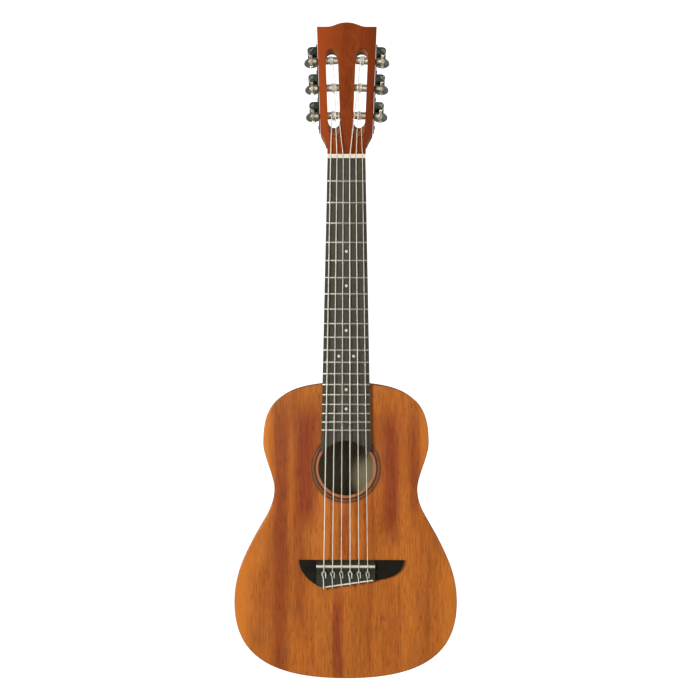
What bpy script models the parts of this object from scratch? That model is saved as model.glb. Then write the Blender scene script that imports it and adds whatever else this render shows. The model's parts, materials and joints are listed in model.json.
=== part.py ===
"""A guitalele: a six-string nylon guitar of tenor ukulele size, modelled piece by piece.

It stands upright in its own frame. +Z runs along the strings towards the headstock, the
soundboard faces -Y, and the treble side is at +X. The origin is the middle of the nut's
front edge on the fretboard's face, the point that a luthier takes every length from.
"""
import math

import bmesh
import bpy
import numpy
from mathutils import Matrix, Vector

MM = 0.001

# Clearance kept where one piece rests on, passes through or holds another
GAP = 0.3 * MM

# Scale and frets
SCALE_LENGTH = 433 * MM
FRET_COUNT = 19
BODY_JOINT_FRET = 14
FRET_WIDTH = 2.0 * MM
FRET_HEIGHT = 1.0 * MM

# Fretboard and neck
FRETBOARD_THICKNESS = 5.7 * MM
FRETBOARD_WIDTH_AT_NUT = 40.4 * MM
FRETBOARD_WIDTH_AT_BODY = 50.0 * MM
FRETBOARD_PAST_LAST_FRET = 23.5 * MM
NECK_DEPTH_AT_NUT = 13.5 * MM
NECK_DEPTH_AT_HEEL = 16.0 * MM
HEEL_DEPTH = 62 * MM
HEEL_CAP_LENGTH = 12 * MM
HEEL_CURVE_LENGTH = 30 * MM

# Body outline, as seen from the front
BODY_TOP_LEAD = 1.5 * MM
BODY_LENGTH = 314.3 * MM
UPPER_BOUT_WIDTH = 176.2 * MM
WAIST_WIDTH = 152.2 * MM
LOWER_BOUT_WIDTH = 236.8 * MM
UPPER_BOUT_AT = 63.6 * MM
WAIST_AT = 113.1 * MM
LOWER_BOUT_AT = 232.8 * MM
SHOULDER_FLATNESS = 75.5 * MM
SHOULDER_FALL = 39.3 * MM
UPPER_BOUT_CURVE = 14.5 * MM
WAIST_CURVE_ABOVE = 14.4 * MM
WAIST_CURVE_BELOW = 33.3 * MM
LOWER_BOUT_CURVE_ABOVE = 56.6 * MM
LOWER_BOUT_CURVE_BELOW = 51.1 * MM
TAIL_FLATNESS = 88.5 * MM
OUTLINE_STEPS = 9

# Body walls and what stiffens them
BODY_DEPTH = 70 * MM
TOP_THICKNESS = 2.2 * MM
BACK_THICKNESS = 2.2 * MM
SIDE_THICKNESS = 2.0 * MM
EDGE_ROUNDING = 1.2 * MM
LINING_WIDTH = 5 * MM
LINING_HEIGHT = 8 * MM
NECK_BLOCK_WIDTH = 56 * MM
NECK_BLOCK_LENGTH = 20 * MM
TAIL_BLOCK_WIDTH = 46 * MM
TAIL_BLOCK_LENGTH = 14 * MM
TOP_BRACE_WIDTH = 6 * MM
TOP_BRACE_HEIGHT = 9 * MM
TOP_BRACE_MARGIN = 5 * MM
FAN_BRACE_WIDTH = 5 * MM
FAN_BRACE_HEIGHT = 6 * MM
FAN_BRACE_SPACING_ABOVE = 24 * MM
FAN_BRACE_SPACING_BELOW = 44 * MM
FAN_BRACE_STOP = 26 * MM
BACK_BRACE_WIDTH = 7 * MM
BACK_BRACE_HEIGHT = 12 * MM
BACK_BRACES_AT = (46 * MM, 128 * MM, 240 * MM)
BRACE_TAPER = 24 * MM
BRACE_TIP_HEIGHT = 2.5 * MM
BRIDGE_PLATE_WIDTH = 132 * MM
BRIDGE_PLATE_LENGTH = 34 * MM
BRIDGE_PLATE_THICKNESS = 2 * MM

# Sound hole and rosette
SOUND_HOLE_BELOW_JOINT = 90.4 * MM
SOUND_HOLE_RADIUS = 29.3 * MM
ROSETTE_INNER_RADIUS = 32.7 * MM
ROSETTE_OUTER_RADIUS = 38.2 * MM
ROSETTE_THICKNESS = 0.9 * MM
RING_SIDES = 30

# Bridge, saddle and tie block
BRIDGE_BASS_REACH = 49.6 * MM
BRIDGE_TREBLE_REACH = 61.9 * MM
BRIDGE_FRONT_LEAD = 6.3 * MM
BRIDGE_LENGTH_BASS = 28.7 * MM
BRIDGE_LENGTH_TREBLE = 21.4 * MM
BRIDGE_DEEPEST_AT = -21.5 * MM
BRIDGE_BASS_SWEEP = 13.5 * MM
BRIDGE_TREBLE_TURN_AT = 29.5 * MM
WING_THICKNESS = 3.5 * MM
SADDLE_PLATFORM_HEIGHT = 7.3 * MM
TIE_BLOCK_HEIGHT = 7.9 * MM
TIE_BLOCK_WIDTH = 62.4 * MM
TIE_BLOCK_LEAD = 7.8 * MM
SADDLE_WALL = 2.1 * MM
SADDLE_THICKNESS = 2.8 * MM
SADDLE_SEAT_HEIGHT = 3.2 * MM
SADDLE_HEIGHT = 10.6 * MM
STRIP_WIDTH = 1.3 * MM
STRIP_DEPTH = 1.4 * MM
STRIP_FROM = -21.5 * MM
STRIP_TO = 29.0 * MM
TIE_HOLE_HEIGHT = 5.2 * MM

# Nut and strings
NUT_THICKNESS = 4.4 * MM
NUT_WIDTH = 40.6 * MM
NUT_RISE = 1.6 * MM
NUT_BACK_DROP = 1.5 * MM
STRING_DIAMETERS = (0.70 * MM, 0.82 * MM, 1.02 * MM, 0.76 * MM, 0.90 * MM, 1.10 * MM)
STRING_SPACING_AT_NUT = 6.75 * MM
STRING_SPACING_AT_SADDLE = 9.27 * MM
STRING_RISE_AT_NUT = 1.25 * MM
STRING_HOLE_CLEARANCE = 0.45 * MM
KNOT_GAP = 0.8 * MM
LOOP_REACH = 0.7
WINDING_TURNS = 2.5
WINDING_GAP = 0.55 * MM
WINDING_POINTS = 24
MIDDLE_WINDING_SHIFT = 1.0 * MM

# Headstock, in distances up its face from the nut line and behind its face
HEAD_TILT = math.radians(12.5)
HEAD_FACE_DROP = 3.0 * MM
HEAD_THICKNESS = 18 * MM
HEADPLATE_THICKNESS = 1.6 * MM
HEAD_WIDTH = 64.6 * MM
HEAD_WIDTH_LOW = 55.7 * MM
HEAD_CORNER_AT = 149 * MM
HEAD_PEAK_RISE = 5 * MM
HEAD_PEAK_WIDTH = 42 * MM
HEAD_FLARE_FROM = 10 * MM
HEAD_FLARE_TO = 31 * MM
SLOT_WIDTH = 13.2 * MM
SLOT_FRONT_FROM = 24.5 * MM
SLOT_BACK_FROM = 40.5 * MM
SLOT_TO = 124.6 * MM
SLOT_CENTRE = 14.85 * MM

# Tuning machines, in distances along the headstock's leaning side walls
ROLLERS_AT = (51.2 * MM, 82.6 * MM, 113.6 * MM)
ROLLER_DEPTH = 8 * MM
ROLLER_RADIUS = 4 * MM
ROLLER_JOURNAL_RADIUS = 3 * MM
ROLLER_SHANK_RADIUS = 2.5 * MM
ROLLER_JOURNAL_LENGTH = 3.5 * MM
ROLLER_SIDES = 12
PLATE_THICKNESS = 1.2 * MM
PLATE_HEIGHT = 14.4 * MM
PLATE_TOP_MARGIN = 8.5 * MM
PLATE_FOOT_MARGIN = 18.5 * MM
LUG_THICKNESS = 3.4 * MM
LUG_RADIUS = 3.7 * MM
GEAR_TEETH = 14
GEAR_PITCH_RADIUS = 6.3 * MM
GEAR_WIDTH = 3.0 * MM
GEAR_HUB_RADIUS = 4.0 * MM
WORM_PITCH_RADIUS = 3.2 * MM
WORM_STANDOFF = 6.0 * MM
TOOTH_ADDENDUM = 0.65 * MM
TOOTH_DEDENDUM = 1.1 * MM
TOOTH_TIP_SHARE = 0.20
TOOTH_ROOT_SHARE = 0.54
THREAD_TURNS = 2.4
THREAD_STEPS = 8
SHAFT_RADIUS = 2.0 * MM
SHAFT_FRONT_END = 1.0 * MM
LUG_PLAY = 2.2 * MM
BUTTON_PLAY = 2.0 * MM
BUTTON_LENGTH = 24 * MM
BUTTON_WIDTH = 16 * MM
BUTTON_THICKNESS = 10.5 * MM
BUTTON_NECK_RADIUS = 3.1 * MM
BUTTON_BORE_DEPTH = 7.5 * MM
BUTTON_SIDES = 10


# Places that follow from the sizes above

def fret_distance(fret):
    """Distance from the nut to a fret."""
    return SCALE_LENGTH * (1 - 2 ** (-fret / 12))


BODY_FACE = FRETBOARD_THICKNESS + GAP
BODY_TOP = -fret_distance(BODY_JOINT_FRET) + BODY_TOP_LEAD
BODY_TAIL = BODY_TOP - BODY_LENGTH
BODY_BACK = BODY_FACE + BODY_DEPTH
TOP_INSIDE = BODY_FACE + TOP_THICKNESS
BACK_INSIDE = BODY_BACK - BACK_THICKNESS
SIDE_FRONT = TOP_INSIDE + GAP
SIDE_BACK = BACK_INSIDE - GAP
LINING_INSET = SIDE_THICKNESS + GAP
SOUND_HOLE_Z = BODY_TOP - SOUND_HOLE_BELOW_JOINT
FRETBOARD_END = -fret_distance(FRET_COUNT) - FRETBOARD_PAST_LAST_FRET
BRIDGE_BOTTOM = BODY_FACE - GAP
BRIDGE_FRONT = -SCALE_LENGTH + BRIDGE_FRONT_LEAD
WING_FACE = BRIDGE_BOTTOM - WING_THICKNESS
PLATFORM_FACE = BRIDGE_BOTTOM - SADDLE_PLATFORM_HEIGHT
TIE_BLOCK_FACE = BRIDGE_BOTTOM - TIE_BLOCK_HEIGHT
TIE_BLOCK_FRONT = -SCALE_LENGTH - TIE_BLOCK_LEAD
SADDLE_BOTTOM = BRIDGE_BOTTOM - SADDLE_SEAT_HEIGHT
SADDLE_TOP = BRIDGE_BOTTOM - SADDLE_HEIGHT
TIE_HOLE_Y = BRIDGE_BOTTOM - TIE_HOLE_HEIGHT
BRIDGE_TAIL_BASS = BRIDGE_FRONT - BRIDGE_LENGTH_BASS
BRIDGE_TAIL_TREBLE = BRIDGE_FRONT - BRIDGE_LENGTH_TREBLE
HEAD_WOOD_FRONT = HEADPLATE_THICKNESS + GAP
HEADPLATE_FROM = (NUT_THICKNESS + GAP) / math.cos(HEAD_TILT) + HEADPLATE_THICKNESS * math.tan(HEAD_TILT)
HEAD_BLOCK_FROM = HEAD_FLARE_FROM + 7 * MM
SIDE_LEAN = math.atan((HEAD_WIDTH - HEAD_WIDTH_LOW) / 2 / (HEAD_CORNER_AT - HEAD_FLARE_TO))
SIDE_WALL = (HEAD_WIDTH / 2 - (HEAD_CORNER_AT - ROLLERS_AT[1]) * math.tan(SIDE_LEAN)) * math.cos(SIDE_LEAN)
PLATE_INNER = SIDE_WALL + GAP
PLATE_OUTER = PLATE_INNER + PLATE_THICKNESS
GEAR_X = PLATE_OUTER + WORM_STANDOFF
WORM_OFFSET = GEAR_PITCH_RADIUS + WORM_PITCH_RADIUS
THREAD_LEAD = 2 * math.pi * GEAR_PITCH_RADIUS / GEAR_TEETH
THREAD_LENGTH = THREAD_LEAD * THREAD_TURNS
LUG_FRONT = ROLLER_DEPTH - THREAD_LENGTH / 2 - LUG_PLAY - LUG_THICKNESS
LUG_BACK = ROLLER_DEPTH + THREAD_LENGTH / 2 + LUG_PLAY
BUTTON_FROM = LUG_BACK + LUG_THICKNESS + BUTTON_PLAY
SHANK_END = GEAR_X + GEAR_WIDTH / 2 + GAP

# A flat drawing (across, up) goes to the front view, and its depth runs to the back
FRONT_FRAME = Matrix(((1, 0, 0, 0), (0, 0, 1, 0), (0, 1, 0, 0), (0, 0, 0, 1)))
# A flat drawing (along Z, along Y) goes to the side view, and its depth runs along X
SIDE_FRAME = Matrix(((0, 0, 1, 0), (0, 1, 0, 0), (1, 0, 0, 0), (0, 0, 0, 1)))
# Headstock axes: across, up the face from the nut line, and behind the face
HEAD_FRAME = Matrix((
    (1, 0, 0, 0),
    (0, math.sin(HEAD_TILT), math.cos(HEAD_TILT), HEAD_FACE_DROP),
    (0, math.cos(HEAD_TILT), -math.sin(HEAD_TILT), 0),
    (0, 0, 0, 1)))
# Turns those axes into the ones of a drawing of the headstock's side: up, behind, then across
SIDEWAYS = Matrix(((0, 0, 1, 0), (1, 0, 0, 0), (0, 1, 0, 0), (0, 0, 0, 1)))


# Materials

def material(name, colour, roughness, metallic=0.0):
    """A Principled material with one colour."""
    made = bpy.data.materials.new(name)
    made.use_nodes = True
    made.diffuse_color = (*colour, 1)
    shader = made.node_tree.nodes["Principled BSDF"]
    shader.inputs["Base Color"].default_value = (*colour, 1)
    shader.inputs["Roughness"].default_value = roughness
    shader.inputs["Metallic"].default_value = metallic
    return made


# Modelling helpers

def add_object(name, mesh, finish, parent=None):
    """Turn a bmesh into a named object, with its faces pointing out."""
    bmesh.ops.recalc_face_normals(mesh, faces=mesh.faces)
    data = bpy.data.meshes.new(name)
    mesh.to_mesh(data)
    mesh.free()
    made = bpy.data.objects.new(name, data)
    bpy.context.scene.collection.objects.link(made)
    if finish:
        data.materials.append(finish)
    made.parent = parent
    return made


def empty(name, matrix, parent=None):
    """A guide that pieces are placed by."""
    made = bpy.data.objects.new(name, None)
    bpy.context.scene.collection.objects.link(made)
    made.parent = parent
    made.matrix_local = matrix
    return made


def smooth(made, angle=35):
    """Shade the round faces smooth and keep the edges crisp."""
    made.data.shade_smooth()
    made.data.set_sharp_from_angle(angle=math.radians(angle))


def prism(name, outline, low, high, frame, finish=None):
    """Extrude a flat outline between two depths of a frame."""
    mesh = bmesh.new()
    ring = [mesh.verts.new(frame @ Vector((across, up, low))) for across, up in outline]
    face = mesh.faces.new(ring)
    extruded = bmesh.ops.extrude_face_region(mesh, geom=[face])
    moved = [item for item in extruded["geom"] if isinstance(item, bmesh.types.BMVert)]
    bmesh.ops.translate(mesh, verts=moved, vec=frame.to_3x3() @ Vector((0, 0, high - low)))
    return add_object(name, mesh, finish)


def block(name, low, high, frame, finish=None):
    """A box between two corners of a frame."""
    outline = [(low[0], low[1]), (high[0], low[1]), (high[0], high[1]), (low[0], high[1])]
    return prism(name, outline, low[2], high[2], frame, finish)


def circle(centre, radius, sides, start=0.0, turn=2 * math.pi):
    """Points on a circle or an arc of it."""
    count = sides if turn >= 2 * math.pi else sides + 1
    angles = [start + turn * step / sides for step in range(count)]
    return [(centre[0] + radius * math.cos(a), centre[1] + radius * math.sin(a)) for a in angles]


def round_rod(name, start, end, radius, sides, finish=None):
    """A straight rod whose flats stay outside the given radius."""
    axis = end - start
    outer = radius / math.cos(math.pi / sides)
    mesh = bmesh.new()
    turn = axis.to_track_quat("Z", "Y").to_matrix().to_4x4()
    place = Matrix.Translation((start + end) / 2) @ turn
    bmesh.ops.create_cone(mesh, cap_ends=True, cap_tris=False, segments=sides,
                          radius1=outer, radius2=outer, depth=axis.length, matrix=place)
    return add_object(name, mesh, finish)


def loft(name, rings, finish=None, parent=None):
    """Join rings of equal count into one closed skin."""
    mesh = bmesh.new()
    rows = [[mesh.verts.new(point) for point in ring] for ring in rings]
    for row, following in zip(rows, rows[1:]):
        for index, corner in enumerate(row):
            beside = (index + 1) % len(row)
            mesh.faces.new((corner, row[beside], following[beside], following[index]))
    mesh.faces.new(rows[0])
    mesh.faces.new(rows[-1])
    return add_object(name, mesh, finish, parent)


def lathe(name, profile, sides, finish=None, parent=None):
    """Turn a profile of (along Z, radius) once round the Z axis."""
    mesh = bmesh.new()
    points = [mesh.verts.new((radius, 0, along)) for along, radius in profile]
    edges = [mesh.edges.new(pair) for pair in zip(points, points[1:])]
    bmesh.ops.spin(mesh, geom=points + edges, cent=(0, 0, 0), axis=(0, 0, 1),
                   angle=2 * math.pi, steps=sides, use_merge=True)
    bmesh.ops.remove_doubles(mesh, verts=mesh.verts, dist=0.001 * MM)
    return add_object(name, mesh, finish, parent)


def boolean(made, tool, operation):
    """Cut one object with another, or join it on, and keep the tool as a guide."""
    tool.hide_render = True
    tool.display_type = "WIRE"
    step = made.modifiers.new(operation.lower() + "_" + tool.name, "BOOLEAN")
    step.object = tool
    step.operation = operation
    step.solver = "EXACT"


def cut(made, *tools):
    for tool in tools:
        boolean(made, tool, "DIFFERENCE")


def join(made, *tools):
    for tool in tools:
        boolean(made, tool, "UNION")


def bezier(start, start_handle, end_handle, end, t):
    """A point on a cubic curve."""
    rest = 1 - t
    return (start * rest ** 3 + start_handle * 3 * rest ** 2 * t
            + end_handle * 3 * rest * t ** 2 + end * t ** 3)


def curve_points(start, start_handle, end_handle, end, steps):
    """Points along a cubic curve, without its last one."""
    corners = [Vector(corner) for corner in (start, start_handle, end_handle, end)]
    return [tuple(bezier(*corners, step / steps)) for step in range(steps)]


# The body's outline: four curves down the treble side, from the top's middle to the tail's

def outline_curves():
    upper = Vector((UPPER_BOUT_WIDTH / 2, BODY_TOP - UPPER_BOUT_AT))
    waist = Vector((WAIST_WIDTH / 2, BODY_TOP - WAIST_AT))
    lower = Vector((LOWER_BOUT_WIDTH / 2, BODY_TOP - LOWER_BOUT_AT))
    return (
        (Vector((0, BODY_TOP)), Vector((SHOULDER_FLATNESS, BODY_TOP)),
         upper + Vector((0, SHOULDER_FALL)), upper),
        (upper, upper - Vector((0, UPPER_BOUT_CURVE)), waist + Vector((0, WAIST_CURVE_ABOVE)), waist),
        (waist, waist - Vector((0, WAIST_CURVE_BELOW)),
         lower + Vector((0, LOWER_BOUT_CURVE_ABOVE)), lower),
        (lower, lower - Vector((0, LOWER_BOUT_CURVE_BELOW)),
         Vector((TAIL_FLATNESS, BODY_TAIL)), Vector((0, BODY_TAIL))))


def outline_point(place, inset):
    """The outline at a place from 0, the top's middle, to 4, the tail's, moved inwards."""
    curves = outline_curves()
    index = min(int(place), len(curves) - 1)
    t = place - index
    step = 0.001
    before = bezier(*curves[index], max(t - step, 0))
    after = bezier(*curves[index], min(t + step, 1))
    along = (after - before).normalized()
    return bezier(*curves[index], t) + Vector((along.y, -along.x)) * inset


def place_where_x_is(x, inset, near, far):
    """Halve the stretch between two places until the outline there is x from the middle."""
    for _ in range(40):
        middle = (near + far) / 2
        if outline_point(middle, inset).x < x:
            near = middle
        else:
            far = middle
    return near


def half_outline(inset, top_x=0.0, tail_x=0.0):
    """The treble side's outline between two distances from the middle line.

    Its points lie at the same places at every inset, so nested faces stay parallel.
    """
    first = place_where_x_is(top_x, inset, 0, 1) if top_x else 0
    last = place_where_x_is(tail_x, inset, 4, 3) if tail_x else 4
    grid = [step / OUTLINE_STEPS for step in range(4 * OUTLINE_STEPS + 1)]
    margin = 0.2 / OUTLINE_STEPS
    places = [place for place in grid if first + margin < place < last - margin]
    return [outline_point(place, inset) for place in (first, *places, last)]


def body_outline(inset):
    """The whole outline, moved inwards."""
    treble = [(point.x, point.y) for point in half_outline(inset)]
    treble[0] = (0.0, treble[0][1])
    treble[-1] = (0.0, treble[-1][1])
    bass = [(-x, z) for x, z in treble[-2:0:-1]]
    return treble + bass


def room_at(z):
    """Half the free width between the linings at one height."""
    points = lining_curve(LINING_INSET + LINING_WIDTH)
    crossings = [low.x + (high.x - low.x) * (z - low.y) / (high.y - low.y)
                 for high, low in zip(points, points[1:]) if low.y <= z < high.y]
    return min(crossings) - 2 * GAP


def fretboard_half_width(z):
    growth = (FRETBOARD_WIDTH_AT_BODY - FRETBOARD_WIDTH_AT_NUT) / (2 * -BODY_TOP)
    return FRETBOARD_WIDTH_AT_NUT / 2 - growth * z


# Body

def make_soundboard(wood, sound_hole):
    board = prism("soundboard", body_outline(0), BODY_FACE, TOP_INSIDE, FRONT_FRAME, wood)
    round_outer_edge(board, BODY_FACE)
    bed = prism("rosette_bed", circle((0, SOUND_HOLE_Z), ROSETTE_OUTER_RADIUS + GAP, RING_SIDES),
                BODY_FACE - 1 * MM, BODY_FACE + ROSETTE_THICKNESS + GAP, FRONT_FRAME)
    island = prism("rosette_island", circle((0, SOUND_HOLE_Z), ROSETTE_INNER_RADIUS - GAP, RING_SIDES),
                   BODY_FACE - 2 * MM, BODY_FACE + ROSETTE_THICKNESS + 2 * GAP, FRONT_FRAME)
    cut(bed, island)
    cut(board, bed, sound_hole)


def round_outer_edge(board, face_y):
    """Bevel the long edge round one face of a flat board."""
    mesh = bmesh.new()
    mesh.from_mesh(board.data)
    rim = [edge for edge in mesh.edges
           if all(abs(corner.co.y - face_y) < GAP / 2 for corner in edge.verts)]
    bmesh.ops.bevel(mesh, geom=rim, offset=EDGE_ROUNDING, offset_type="OFFSET", segments=1,
                    profile=0.5, affect="EDGES", material=-1)
    mesh.to_mesh(board.data)
    mesh.free()


def make_back(wood):
    back = prism("back", body_outline(0), BACK_INSIDE, BODY_BACK, FRONT_FRAME, wood)
    round_outer_edge(back, BODY_BACK)


def make_sides(wood):
    seam = GAP / 2
    outer = half_outline(0, seam, seam)
    inner = half_outline(SIDE_THICKNESS, seam, seam)
    for name, side in (("side_treble", 1), ("side_bass", -1)):
        outline = [(side * point.x, point.y) for point in outer + inner[::-1]]
        prism(name, outline, SIDE_FRONT, SIDE_BACK, FRONT_FRAME, wood)


def lining_curve(inset):
    """One face of a lining, from the neck block to the tail block."""
    return half_outline(inset, NECK_BLOCK_WIDTH / 2 + GAP, TAIL_BLOCK_WIDTH / 2 + GAP)


def make_linings(wood):
    faces = lining_curve(LINING_INSET) + lining_curve(LINING_INSET + LINING_WIDTH)[::-1]
    heights = {"top": (SIDE_FRONT, SIDE_FRONT + LINING_HEIGHT), "back": (SIDE_BACK - LINING_HEIGHT, SIDE_BACK)}
    for level, (low, high) in heights.items():
        for side_name, side in (("treble", 1), ("bass", -1)):
            outline = [(side * point.x, point.y) for point in faces]
            prism("lining_" + level + "_" + side_name, outline, low, high, FRONT_FRAME, wood)


def block_outline(width, from_top, length):
    """An end block that fits the curve of the sides."""
    points = [outline_point(place, LINING_INSET) for place in end_places(width / 2, from_top)]
    near = [(point.x, point.y) for point in points]
    far_z = near[0][1] + (-length if from_top else length)
    mirrored = [(-x, z) for x, z in near[:0:-1]]
    return mirrored + near + [(near[-1][0], far_z), (-near[-1][0], far_z)]


def end_places(half_width, from_top):
    """Places on the outline from the middle line to a half width, at the top or the tail."""
    middle = 0 if from_top else 4
    onward = 1 if from_top else -1
    edge = place_where_x_is(half_width, LINING_INSET, middle, middle + onward)
    count = int(abs(edge - middle) * OUTLINE_STEPS)
    return [middle + onward * step / OUTLINE_STEPS for step in range(count + 1)] + [edge]


def make_blocks(wood):
    neck = block_outline(NECK_BLOCK_WIDTH, True, NECK_BLOCK_LENGTH)
    tail = block_outline(TAIL_BLOCK_WIDTH, False, TAIL_BLOCK_LENGTH)
    prism("neck_block", neck, SIDE_FRONT, SIDE_BACK, FRONT_FRAME, wood)
    prism("tail_block", tail, SIDE_FRONT, SIDE_BACK, FRONT_FRAME, wood)


def make_brace(name, start, end, width, height, seat, inward, wood, bridge_plate=None):
    """A strut with scalloped ends between two points of the front view, glued at depth seat."""
    span = (end - start).length
    taper = min(BRACE_TAPER, span / 3)
    foot = [(0, 0), (span, 0)]
    if bridge_plate:
        low, high = bridge_plate
        lift = BRIDGE_PLATE_THICKNESS + 2 * GAP
        foot = [(0, 0), (low, 0), (low, lift), (high, lift), (high, 0), (span, 0)]
    back = [(span, BRACE_TIP_HEIGHT), (span - taper, height), (taper, height), (0, BRACE_TIP_HEIGHT)]
    along = (end - start).normalized()
    frame = Matrix((
        (along.x, 0, along.y, start.x),
        (0, inward, 0, seat),
        (along.y, 0, -along.x, start.y),
        (0, 0, 0, 1)))
    prism(name, foot + back, -width / 2, width / 2, frame, wood)


def cross_brace(name, z, width, height, seat, inward, wood):
    reach = min(room_at(z + width / 2), room_at(z - width / 2))
    make_brace(name, Vector((-reach, z)), Vector((reach, z)), width, height, seat, inward, wood)


def make_braces(wood):
    front_seat = SIDE_FRONT
    hole_edge = SOUND_HOLE_RADIUS + TOP_BRACE_MARGIN
    upper_z = SOUND_HOLE_Z + hole_edge
    lower_z = SOUND_HOLE_Z - hole_edge
    cross_brace("upper_brace", upper_z, TOP_BRACE_WIDTH, TOP_BRACE_HEIGHT, front_seat, 1, wood)
    cross_brace("lower_brace", lower_z, TOP_BRACE_WIDTH, TOP_BRACE_HEIGHT, front_seat, 1, wood)
    fan_top = lower_z - TOP_BRACE_WIDTH / 2 - FAN_BRACE_WIDTH
    fan_end = BODY_TAIL + FAN_BRACE_STOP
    plate_top = -SCALE_LENGTH - TIE_BLOCK_LEAD + BRIDGE_PLATE_LENGTH / 2 + GAP
    plate_end = plate_top - BRIDGE_PLATE_LENGTH - 2 * GAP
    for name, side in (("fan_brace_bass", -1), ("fan_brace_middle", 0), ("fan_brace_treble", 1)):
        start = Vector((side * FAN_BRACE_SPACING_ABOVE, fan_top))
        end = Vector((side * FAN_BRACE_SPACING_BELOW, fan_end))
        slant = (end - start).length / (fan_top - fan_end)
        margin = FAN_BRACE_WIDTH / 2 * abs(end.x - start.x) / (end - start).length + GAP
        notch = ((fan_top - plate_top) * slant - margin, (fan_top - plate_end) * slant + margin)
        make_brace(name, start, end, FAN_BRACE_WIDTH, FAN_BRACE_HEIGHT, front_seat, 1, wood, notch)
    for number, distance in enumerate(BACK_BRACES_AT, 1):
        cross_brace("back_brace_" + str(number), BODY_TOP - distance, BACK_BRACE_WIDTH,
                    BACK_BRACE_HEIGHT, SIDE_BACK, -1, wood)


def make_bridge_plate(wood):
    middle = -SCALE_LENGTH - TIE_BLOCK_LEAD
    low = (-BRIDGE_PLATE_WIDTH / 2, middle - BRIDGE_PLATE_LENGTH / 2, SIDE_FRONT)
    high = (BRIDGE_PLATE_WIDTH / 2, middle + BRIDGE_PLATE_LENGTH / 2, SIDE_FRONT + BRIDGE_PLATE_THICKNESS)
    block("bridge_plate", low, high, FRONT_FRAME, wood)


def make_rosette(inlay):
    ring = prism("rosette", circle((0, SOUND_HOLE_Z), ROSETTE_OUTER_RADIUS, RING_SIDES),
                 BODY_FACE, BODY_FACE + ROSETTE_THICKNESS, FRONT_FRAME, inlay)
    hollow = prism("rosette_hollow", circle((0, SOUND_HOLE_Z), ROSETTE_INNER_RADIUS, RING_SIDES),
                   BODY_FACE - 1 * MM, BODY_FACE + ROSETTE_THICKNESS + 1 * MM, FRONT_FRAME)
    cut(ring, hollow)


# Bridge

def tail_edge_z(x):
    """The bridge's straight tail edge, which slants from the bass side up to the treble side."""
    share = (x - BRIDGE_DEEPEST_AT) / (BRIDGE_TREBLE_TURN_AT - BRIDGE_DEEPEST_AT)
    return BRIDGE_TAIL_BASS + share * (BRIDGE_TAIL_TREBLE - BRIDGE_TAIL_BASS)


def bridge_outline():
    """The boat shape, from the bass front corner round the tail to the treble front corner."""
    bass_corner = (-BRIDGE_BASS_REACH, BRIDGE_FRONT)
    deepest = (BRIDGE_DEEPEST_AT, BRIDGE_TAIL_BASS)
    turn = (BRIDGE_TREBLE_TURN_AT, BRIDGE_TAIL_TREBLE)
    treble_corner = (BRIDGE_TREBLE_REACH, BRIDGE_FRONT)
    depth = BRIDGE_LENGTH_BASS
    bass_curve = curve_points(bass_corner, (-BRIDGE_BASS_REACH, BRIDGE_FRONT - 0.46 * depth),
                              (BRIDGE_DEEPEST_AT - BRIDGE_BASS_SWEEP, BRIDGE_TAIL_BASS), deepest, 9)
    treble_curve = curve_points(turn, (BRIDGE_TREBLE_REACH - 12 * MM, BRIDGE_TAIL_TREBLE + 2 * MM),
                                (BRIDGE_TREBLE_REACH, BRIDGE_FRONT - 0.46 * depth), treble_corner, 8)
    return bass_curve + [deepest] + treble_curve + [treble_corner]


def make_bridge(wood, strings):
    half = TIE_BLOCK_WIDTH / 2
    far = 40 * MM
    top = min(PLATFORM_FACE, TIE_BLOCK_FACE) - 1 * MM
    over = top - 5 * MM
    body = prism("bridge", bridge_outline(), top, BRIDGE_BOTTOM, FRONT_FRAME, wood)
    tail = BRIDGE_TAIL_BASS - 5 * MM
    head = BRIDGE_FRONT + 5 * MM
    slot_half = SADDLE_THICKNESS / 2 + GAP
    front_wall = -SCALE_LENGTH + slot_half + SADDLE_WALL
    rear_wall = -SCALE_LENGTH - slot_half - SADDLE_WALL
    cut(body,
        block("bass_wing_space", (-half - far, tail, over), (-half, head, WING_FACE), FRONT_FRAME),
        block("treble_wing_space", (half, tail, over), (half + far, head, WING_FACE), FRONT_FRAME),
        prism("front_slope", [(head, over), (head, WING_FACE), (BRIDGE_FRONT, WING_FACE),
                              (front_wall, PLATFORM_FACE), (rear_wall - 1 * MM, PLATFORM_FACE),
                              (rear_wall - 1 * MM, over)], -far, far, SIDE_FRAME),
        block("valley", (-half - 1 * MM, TIE_BLOCK_FRONT, over), (half + 1 * MM, rear_wall, WING_FACE),
              FRONT_FRAME),
        block("tie_block_space", (-half - 1 * MM, tail, over),
              (half + 1 * MM, TIE_BLOCK_FRONT + 2 * MM, TIE_BLOCK_FACE), FRONT_FRAME),
        block("saddle_slot", (-half - 1 * MM, -SCALE_LENGTH - slot_half, over),
              (half + 1 * MM, -SCALE_LENGTH + slot_half, SADDLE_BOTTOM + GAP), FRONT_FRAME),
        strip_bar("strip_rebate", GAP))
    for string in strings:
        x = string["x_saddle"]
        hole = round_rod("tie_hole_" + string["number"], Vector((x, TIE_HOLE_Y, TIE_BLOCK_FRONT + 1 * MM)),
                         Vector((x, TIE_HOLE_Y, tail)), string["radius"] + STRING_HOLE_CLEARANCE, 6)
        cut(body, hole)


def strip_bar(name, extra, finish=None):
    """The bone strip along the tie block's tail edge, or its rebate when extra is given."""
    start = STRIP_FROM - extra
    end = STRIP_TO + extra
    out = 3 * MM if extra else 0
    outline = [(start, tail_edge_z(start) + STRIP_WIDTH + extra), (start, tail_edge_z(start) - out),
               (end, tail_edge_z(end) - out), (end, tail_edge_z(end) + STRIP_WIDTH + extra)]
    return prism(name, outline, TIE_BLOCK_FACE - out, TIE_BLOCK_FACE + STRIP_DEPTH + extra, FRONT_FRAME, finish)


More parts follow.
